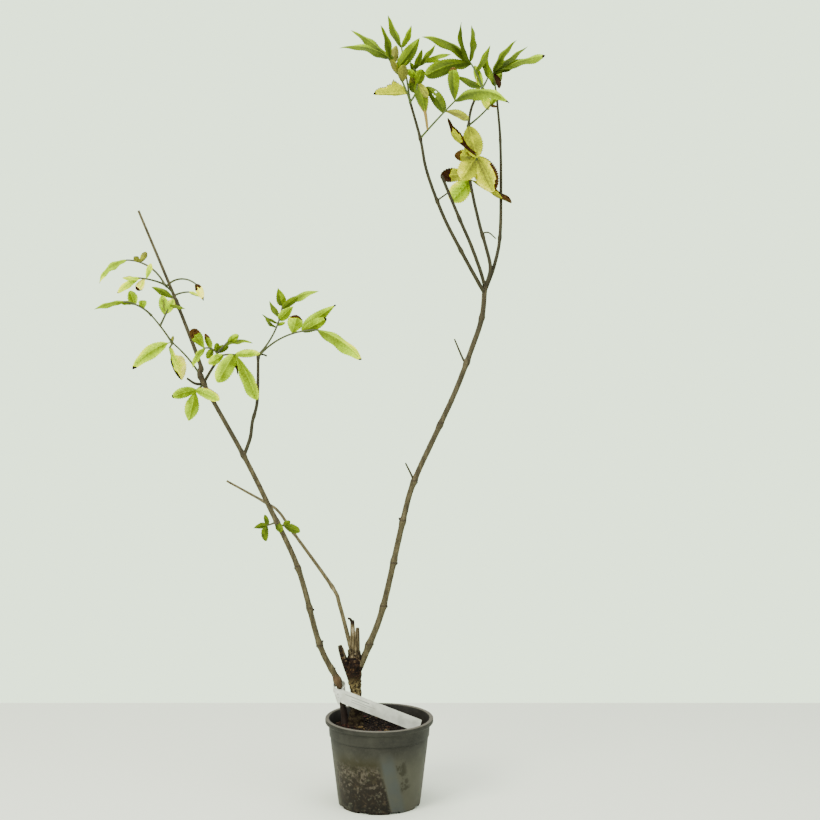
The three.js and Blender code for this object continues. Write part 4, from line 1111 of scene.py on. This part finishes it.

# A look: the tint's number at the root and the tip, the tints added at the edge, and then what sets it
# apart. rib and veins: tints taken off there. half: painted light and shade, the tints by which the upper
# half is painted lighter and the lower half darker, as if lit from above. dryTip, dryRoot and dryRib: the
# share that is dry there. dryEdge: the share of a half width that is dry at the edge, on side 1, clockwise
# of the tip as seen from the front, -1, the other, or 0, both. dry: the dry tint. curl: the blade's curl
# in degrees. gold: it takes the gold tints. lop: how much wider the clockwise half is. knob: a dry dot on
# the tip, in mm. holes: each at a share of length and half width
looks = {
    "deep": (0.8, 3.0, 0.8, {}),
    "deepTip": (0.8, 3.0, 1.0, {"dryTip": 0.05, "dry": 3}),
    "topDark": (1.2, 4.2, 1.2, {"half": 2.2}),
    "topLit": (1.6, 5.2, 1.4, {"half": 3.4, "dryTip": 0.05, "dry": 5}),
    "topGreen": (2.2, 5.2, 1.4, {"half": 2.0, "dryTip": 0.05, "dry": 5}),
    "topTip": (1.6, 5.8, 1.0, {"half": 2.6, "dryTip": 0.05, "dry": 3, "knob": 0.9}),
    "broadLit": (1.0, 2.8, 1.0, {"half": 2.2}),
    "green": (1.8, 3.8, 1.0, {"half": 1.4}),
    "deepOlive": (1.4, 3.2, 1.4, {"half": 1.6}),
    "fresh": (4.0, 6.2, 2.4, {"half": 1.4}),
    "freshHoles": (0.9, 2.4, 1.0, {"half": 1.6, "holes": [(0.6, -0.1), (0.68, -0.16), (0.7, 0.5)]}),
    "freshYellow": (5.2, 7.8, 2.2, {}),
    "yellowPink": (6.0, 8.6, 1.6, {"rib": 1.4, "dryEdge": 0.16, "side": 0, "dry": 0}),
    "freshTip": (4.0, 6.0, 1.4, {"dryTip": 0.05, "dry": 3, "knob": 1.0}),
    "freshBrown": (4.4, 4.0, 1.2, {"dryTip": 0.28, "dry": 1.4}),
    "softLime": (2.2, 3.6, 0.8, {"rib": 1.2, "gold": 1}),
    "limeTan": (6.0, 7.0, 0.8, {"dryRib": 0.14, "dry": 5}),
    "brightLime": (7.2, 8.4, 2.4, {"rib": 2.4, "veins": 2.2}),
    "limeTip": (5.8, 7.8, 2.8, {"rib": 1.8, "veins": 1.8, "dryTip": 0.06, "dry": 3, "knob": 1.3}),
    "softOlive": (-0.8, 0.6, 0.7, {"half": 1.2, "rib": 1.0, "gold": 1}),
    "lowOlive": (0.8, 2.8, 1.0, {"half": 1.2}),
    "olive": (4.0, 6.0, 1.4, {"half": 1.8}),
    "oliveLong": (5.6, 7.6, 1.0, {"half": 1.8, "dryTip": 0.03, "dry": 5}),
    "oliveDry": (0.4, 1.0, 0.6, {"gold": 1, "dryEdge": 0.4, "side": 1, "dry": 5}),
    "oliveEnd": (0.2, 1.4, 0.8, {"half": 1.4, "gold": 1, "dryTip": 0.08, "dry": 5}),
    "oliveTip": (4.4, 8.8, 1.2, {"half": 2.6, "dryTip": 0.03, "dry": 3, "knob": 1.4}),
    "oliveSpots": (2.8, 6.2, 1.4, {"half": 2.2, "dryTip": 0.05, "dry": 3, "knob": 1.5}),
    "brownPatch": (4.4, 6.6, 1.8, {"dryTip": 0.14, "dry": 1.6}),
    "pale": (7.2, 9.6, 0.8, {"dryTip": 0.04, "dry": 4}),
    "paleLime": (5.6, 9.0, 0.8, {}),
    "paleTan": (8.0, 8.6, 0.6, {"dryEdge": 0.5, "side": 1, "dry": 4}),
    "yellow": (5.4, 9.0, 2.2, {"rib": 1.6, "dryEdge": 0.16, "side": -1, "dry": 0}),
    "yellowRagged": (7.6, 11.4, 2.6, {"rib": 2.0, "dryEdge": 0.8, "side": 1, "dry": 3, "lop": -0.42}),
    "yellowEdge": (2.0, 3.2, 0.6, {"gold": 1, "dryEdge": 0.14, "side": 1, "dry": 4, "dryTip": 0.03,
                                   "knob": 1.5, "lop": 0.72}),
    "yellowBrownEdge": (1.0, 2.4, 0.6, {"gold": 1, "dryTip": 0.24, "dry": 1.2}),
    "palest": (2.8, 4.8, 1.2, {"rib": 3.0, "gold": 1, "dryEdge": 0.42, "side": -1, "dry": 1.4}),
    "paleOlive": (1.4, 2.6, 0.6, {"veins": 1.0, "gold": 1, "dryEdge": 0.1, "side": 0, "dry": 1.4}),
    "paleTail": (1.6, 2.0, 0.4, {"gold": 1, "dryTip": 0.26, "dryEdge": 0.24, "side": -1, "dry": 1.6,
                                 "curl": 60}),
    "paleDead": (10.0, 10.0, 0.6, {"dryTip": 0.5, "dry": 0, "curl": 70}),
    "creamDark": (9.6, 11.0, 0.8, {"dryTip": 0.16, "dry": 2}),
    "creamBrown": (10.6, 10.6, 0.6, {"dryRoot": 0.3, "dryTip": 0.14, "dry": 1.8, "knob": 0.8}),
    "greenBrownTop": (1.0, 4.2, 1.4, {"half": 1.8, "dryTip": 0.07, "dry": 0.6}),
    "greenToYellow": (1.5, 7.0, 1.6, {"half": 2.4, "dryTip": 0.06, "dry": 3, "knob": 0.9}),
    "droopTail": (1.8, 3.8, 0.8, {"dryTip": 0.4, "dryEdge": 0.3, "side": -1, "dry": 0, "knob": 0.8,
                                  "curl": 40}),
    "curledBrown": (2.6, 3.4, 0.4, {"gold": 1, "dryRoot": 0.4, "dryTip": 0.26, "dryEdge": 0.62, "side": 1,
                                    "dry": 1.8, "curl": 70}),
    "darkEnd": (1.6, 2.2, 0.8, {"gold": 1, "dryTip": 0.3, "dry": 2.2, "curl": 50}),
    "dead": (5.0, 5.0, 0.0, {"dryTip": 1.3, "dry": 1.2, "curl": 90}),
    "deadDark": (5.0, 5.0, 0.0, {"dryTip": 1.3, "dry": 2.0, "curl": 90}),
    "deadHalf": (4.0, 4.6, 0.4, {"dryTip": 0.42, "dry": 1.8, "curl": 60}),
}

leaf = {
    "trueWidth": 0.3,      # least width, as a share of the length; a blade that shows less is turned
    "swell": 1.0,          # mm added to a blade's width, which a bright backdrop takes off again
    "fold": 24,            # degrees at the midrib, from half to 1.2 times as much
    "toothEvery": 3.4,     # mm along the edge from tooth to tooth
    "toothDepth": 0.13,    # of the half width
    "rowsPerTooth": 4,
    "columns": 7,          # faces from midrib to edge
    "columnPower": 1.25,   # faces are narrower near the midrib
    "thinnest": 0.35,      # least half width, mm
    "thickness": 0.32,
    "veinEvery": 6.5,      # mm between side veins
    "veinRise": 0.45,      # mm
    "wave": 0.16,          # rise of the wavy edge, of the half width
    "blotch": (4, 1.6, 1.8),     # how fine along and across, and how many tints it adds at most
    "speck": (26, 9, 1.0),
    "ribWidth": 0.34,      # of the half width
    "paleRib": (0.07, 1.3),      # width and tints of the pale midrib on it
    "hole": (1.8, 1.1),    # half length and half width of a hole, mm
}
stalk = {"diameter": 3.2, "tipDiameter": 2.4, "rootDepth": 1.2, "sides": 8, "ringEvery": 2.5, "sheath": 0.45}


def direction(heading, lean):
    # a heading in the front view, from +X towards +Z, that leans to the front
    angle, rise = math.radians(heading), math.radians(lean)
    return Vector((math.cos(angle) * math.cos(rise), -math.sin(rise), math.sin(angle) * math.cos(rise)))


def spine(start, shape, count):
    # evenly spaced points and directions along a stalk or midrib whose heading turns evenly
    heading, turn, lean, long = shape
    point = start - direction(heading, lean) * stalk["rootDepth"]
    step = (long + stalk["rootDepth"]) / count
    rows = [(point.copy(), direction(heading, lean))]
    for i in range(count):
        point += direction(heading + turn * (i + 0.5) / count, lean) * step
        rows.append((point.copy(), direction(heading + turn * (i + 1) / count, lean)))
    return rows


def pointOn(rows, place):
    exact = place * (len(rows) - 1)
    row = min(int(exact), len(rows) - 2)
    return rows[row][0].lerp(rows[row + 1][0], exact - row)


def squareTo(along):
    across = along.cross(Vector((0, 1, 0))).normalized()
    return across, across.cross(along)


def outline(form, share):
    # the share of its full width that a leaflet has at a share of its length
    if isinstance(forms[form], list):
        return between(forms[form], share)
    low, high = forms[form]
    peak = low / (low + high)
    return share ** low * (1 - share) ** high / (peak ** low * (1 - peak) ** high)


def tintAt(tones, look, share, side, paintedLightSign, veinTurn, seed):
    # which leaf material a small part of a blade gets: share runs root to tip, side -1 to 1, and the
    # painted-light sign is 1 on the half that lies higher, painted lighter, and -1 on the half below, painted
    # darker
    (long, wide, blotchTints), (fineLong, fineWide, speckTints) = leaf["blotch"], leaf["speck"]
    blotch = noise.noise(Vector((share * long + seed, side * wide, seed * 0.37)))
    speck = noise.noise(Vector((share * fineLong, side * fineWide + seed, seed)))
    dry = look.get("dry", 1)
    dryFrom = 1 - look.get("dryTip", 0) * (1 + 0.45 * blotch + 0.3 * abs(side))
    dryTo = look.get("dryRoot", 0) * (1 + 0.6 * blotch)
    dryWidth = look.get("dryEdge", 0) * (1 + 1.3 * blotch) * (0.4 + 0.6 * share)
    faces = look.get("side", 0)
    onEdge = dryWidth > 0 and abs(side) > 1 - dryWidth and (faces == 0 or faces * side > 0)
    onRib = look.get("dryRib") and abs(side + 0.2 * blotch) < look["dryRib"] and 0.2 < share < 0.8
    if share > dryFrom or share < dryTo or onEdge or onRib:
        if dry > 3:        # the last dry tints stay even, and the browns before them vary
            return len(leafTints) + dry
        return len(leafTints) + min(3, max(0, round(dry + 0.9 * speck + 0.6 * blotch)))
    near = max(0.0, 1 - (dryFrom - share) / 0.07) if look.get("dryTip") else 0.0
    root, tip, edge = tones
    value = root + (tip - root) * share + edge * abs(side) ** 2.2
    value += blotchTints * blotch + speckTints * speck + near
    value -= look.get("rib", 0.6) * math.exp(-(side / leaf["ribWidth"]) ** 2)
    # painted light and shade: the higher half lighter and the lower half darker, as if lit from above
    value += look.get("half", 0.8) * 0.5 * paintedLightSign
    value -= look.get("veins", 1.1) * max(0, math.cos(veinTurn)) ** 3 * (1 - abs(side))
    if abs(side) < leaf["paleRib"][0]:
        value += leaf["paleRib"][1]
    if look.get("gold"):
        return len(leafTints) + len(dryTints) + min(len(goldTints) - 1, max(0, round(value)))
    return min(len(leafTints) - 1, max(0, round(value)))


def growLeaflet(mesh, root, leaflet, seed):
    # one toothed blade, folded at its midrib, waved at its edge and quilted between its veins
    heading, long, shown, lean, turn, lookName, form = leaflet
    *tones, look = looks[lookName]
    full = max(shown, leaf["trueWidth"] * long) + leaf["swell"]
    roll = math.acos((shown + leaf["swell"]) / full)
    fold = -math.radians(leaf["fold"] * (0.5 + 0.7 * chance(seed)))
    curl = math.radians(look.get("curl", 10 - 24 * chance(seed + 3)))
    count = max(5, round(long / leaf["toothEvery"])) * leaf["rowsPerTooth"]
    columns = leaf["columns"]
    first = len(mesh["points"])
    sides = [math.copysign((abs(k) / columns) ** leaf["columnPower"], k)
             for k in range(-columns, columns + 1)]
    veinTurns = []
    for row, (centre, along) in enumerate(spine(root, (heading, turn, lean, long), count)):
        share = row / count
        across, through = squareTo(along)
        upward = -1 if across.z < 0 else 1
        normal = -through * math.cos(roll) + across * upward * math.sin(roll)
        side = along.cross(normal)
        tooth = (row % leaf["rowsPerTooth"]) / (leaf["rowsPerTooth"] - 1)
        reach = max(full / 2 * outline(form, share), leaf["thinnest"] * (1 - 0.6 * share))
        if look.get("knob"):
            back = min(1, (1 - share) * long / (2 * look["knob"]))
            reach = max(reach, look["knob"] * math.sqrt(max(0, 1 - (2 * back - 1) ** 2)))
        higher = 1 if side.z > 0 else -1
        for k, t in enumerate(sides):
            half = reach * (1 + (look.get("lop", 0) if t > 0 else -look.get("lop", 0)))
            cut = 1 - leaf["toothDepth"] * (1 - tooth) * (abs(t) > 0.99) * min(1, 12 * share)
            spread = half * math.sin(curl * abs(t)) / curl if abs(curl) > 0.02 else half * abs(t)
            lift = half * (1 - math.cos(curl * t)) / curl if abs(curl) > 0.02 else 0
            lift += spread * math.tan(fold)
            ripple = math.sin(2 * math.pi * (share * (1.6 + chance(seed + 5)) + chance(seed + (t > 0))))
            lift += leaf["wave"] * half * ripple * t * t
            veinTurn = 2 * math.pi * (share * long - abs(t) * half * 0.8) / leaf["veinEvery"]
            veinTurns.append((veinTurn, math.copysign(higher, t * higher)))
            lift += leaf["veinRise"] * math.cos(veinTurn) * abs(t) * (1 - abs(t)) * min(1, half / 5)
            point = centre + side * math.copysign(spread * cut, t) + normal * lift
            mesh["points"].append(tuple(point * mm))
    width = len(sides)
    holeLong, holeWide = leaf["hole"]
    for row in range(count):
        for j in range(width - 1):
            share = (row + 0.5) / count
            t = (sides[j] + sides[j + 1]) / 2
            if any(((share - s) * long / holeLong) ** 2 + ((t - u) * full / 2 / holeWide) ** 2 < 1
                   for s, u in look.get("holes", [])):
                continue
            low = first + row * width + j
            mesh["faces"].append((low, low + 1, low + width + 1, low + width))
            # the sign of the half, for the painted light and shade on the blade
            veinTurn, paintedLightSign = veinTurns[row * width + j]
            if (1 - share) * long < 2 * look.get("knob", 0):
                mesh["tints"].append(len(leafTints) + 3)     # black-brown
            else:
                mesh["tints"].append(tintAt(tones, look, share, t, paintedLightSign, veinTurn, seed))


def growTube(mesh, rows, tint):
    # a closed stalk, stouter where it clasps what it grows from
    first = len(mesh["points"])
    sides = stalk["sides"]
    last = len(rows) - 1
    for i, (centre, along) in enumerate(rows):
        across, through = squareTo(along)
        radius = (stalk["diameter"] + (stalk["tipDiameter"] - stalk["diameter"]) * i / last) / 2
        radius *= 1 + stalk["sheath"] * math.exp(-i * stalk["ringEvery"] / 3)
        for k in range(sides):
            angle = 2 * math.pi * k / sides
            out = across * math.cos(angle) + through * math.sin(angle)
            mesh["points"].append(tuple((centre + out * radius) * mm))
    for i in range(last):
        for k in range(sides):
            low, after = first + i * sides, (k + 1) % sides
            mesh["faces"].append((low + k, low + after, low + sides + after, low + sides + k))
            mesh["tints"].append(tint)
    mesh["faces"].append(tuple(first + k for k in reversed(range(sides))))
    mesh["faces"].append(tuple(first + last * sides + k for k in range(sides)))
    mesh["tints"] += [tint, tint]


def footOf(limb, height):
    # the point on the limb's middle at the height
    centres = curvePoints(limbs[limb][0], 1.0)
    for low, high in zip(centres, centres[1:]):
        if high.z >= height:
            return low.lerp(high, (height - low.z) / (high.z - low.z))
    return centres[-1]


def growSpray(name, blades, tubes):
    limb, height, group, stalks = sprays[name]
    seed = 100 * list(sprays).index(name)
    grown = []
    for i, (origin, shape, leaflets) in enumerate(stalks):
        start = pointOn(grown[origin[0]], origin[1]) if origin else footOf(limb, height)
        rows = spine(start, shape, max(3, round(shape[3] / stalk["ringEvery"]), round(abs(shape[1]) / 6)))
        grown.append(rows)
        growTube(tubes, rows, 0 if group == "left" else 1)
        for j, leaflet in enumerate(leaflets):
            growLeaflet(blades, pointOn(rows, leaflet[0]), leaflet[1:], seed + 31 * i + 7 * j)


def leafMaterial(name, colour, under):
    # living leaf: a thin waxy skin over soft flesh, duller and paler underneath
    shade = Vector(linear(colour)[:3])
    if under:
        shade = shade.lerp(Vector(linear("#7d8a38")[:3]), 0.3)
    material, tree, shader = newMaterial(name + ("Under" if under else ""), {
        "Base Color": (*shade, 1), "Roughness": 0.66 if under else 0.5, "IOR": 1.42,
        "Specular IOR Level": 0.06})
    place = (addNode(tree, "TexCoord"), "Object")
    veins = addNode(tree, "TexNoise", {"Scale": perMm(1.4), "Detail": 3}, {"Vector": place})
    dress(shader, None, veins, 0.18, 0.6)   # the net of fine veins
    return material


def stalkMaterial(name, colours):
    # juicy leaf stalk: smooth and olive, flushed red-brown in streaks
    material, tree, shader = newMaterial(name, {"Roughness": 0.5, "IOR": 1.42})
    place = (addNode(tree, "TexCoord"), "Object")
    flush = addNode(tree, "TexNoise", {"Scale": perMm(11), "Detail": 3}, {"Vector": place})
    tone = addNode(tree, "ValToRGB", {"stops": list(zip((0.35, 0.55, 0.7), colours))}, {"Fac": flush})
    dress(shader, tone, flush, 0.2, 0.5)
    return material


def makeSprays():
    tubes = {"points": [], "faces": [], "tints": []}
    tints = leafTints + dryTints + goldTints
    # the undersides' materials follow the faces' own, and the thickness gives them to the back
    materials = [leafMaterial(name, colour, under) for under in (False, True) for name, colour in tints]
    for group in ("left", "top", "yellow"):
        blades = {"points": [], "faces": [], "tints": []}
        names = [name for name, spray in sprays.items() if spray[2] == group]
        for name in names:
            growSpray(name, blades, tubes)
        piece = meshPiece("leaflets_" + group, blades["points"], blades["faces"], blades["tints"])
        paint(piece, *materials)
        applyModifier(piece, "SOLIDIFY", thickness=leaf["thickness"] * mm, offset=0,
                      material_offset=len(tints), material_offset_rim=0)
        smooth(piece, 60)
        standsFor(piece, "yellow_leaf" if group == "yellow" else "green_leaf", *names)
        print("leaflets", group, len(piece.data.polygons), "faces")
    stalks = meshPiece("leaf_stalks", tubes["points"], tubes["faces"], tubes["tints"])
    smooth(stalks, 60)
    paint(stalks, stalkMaterial("oliveStalk", ("#30350f", "#3f441b", "#3a3414")),
          stalkMaterial("greenStalk", ("#333e0f", "#46561b", "#3f4217")))
    standsFor(stalks, "green_leaf")


makeSprays()
print("sprays made")
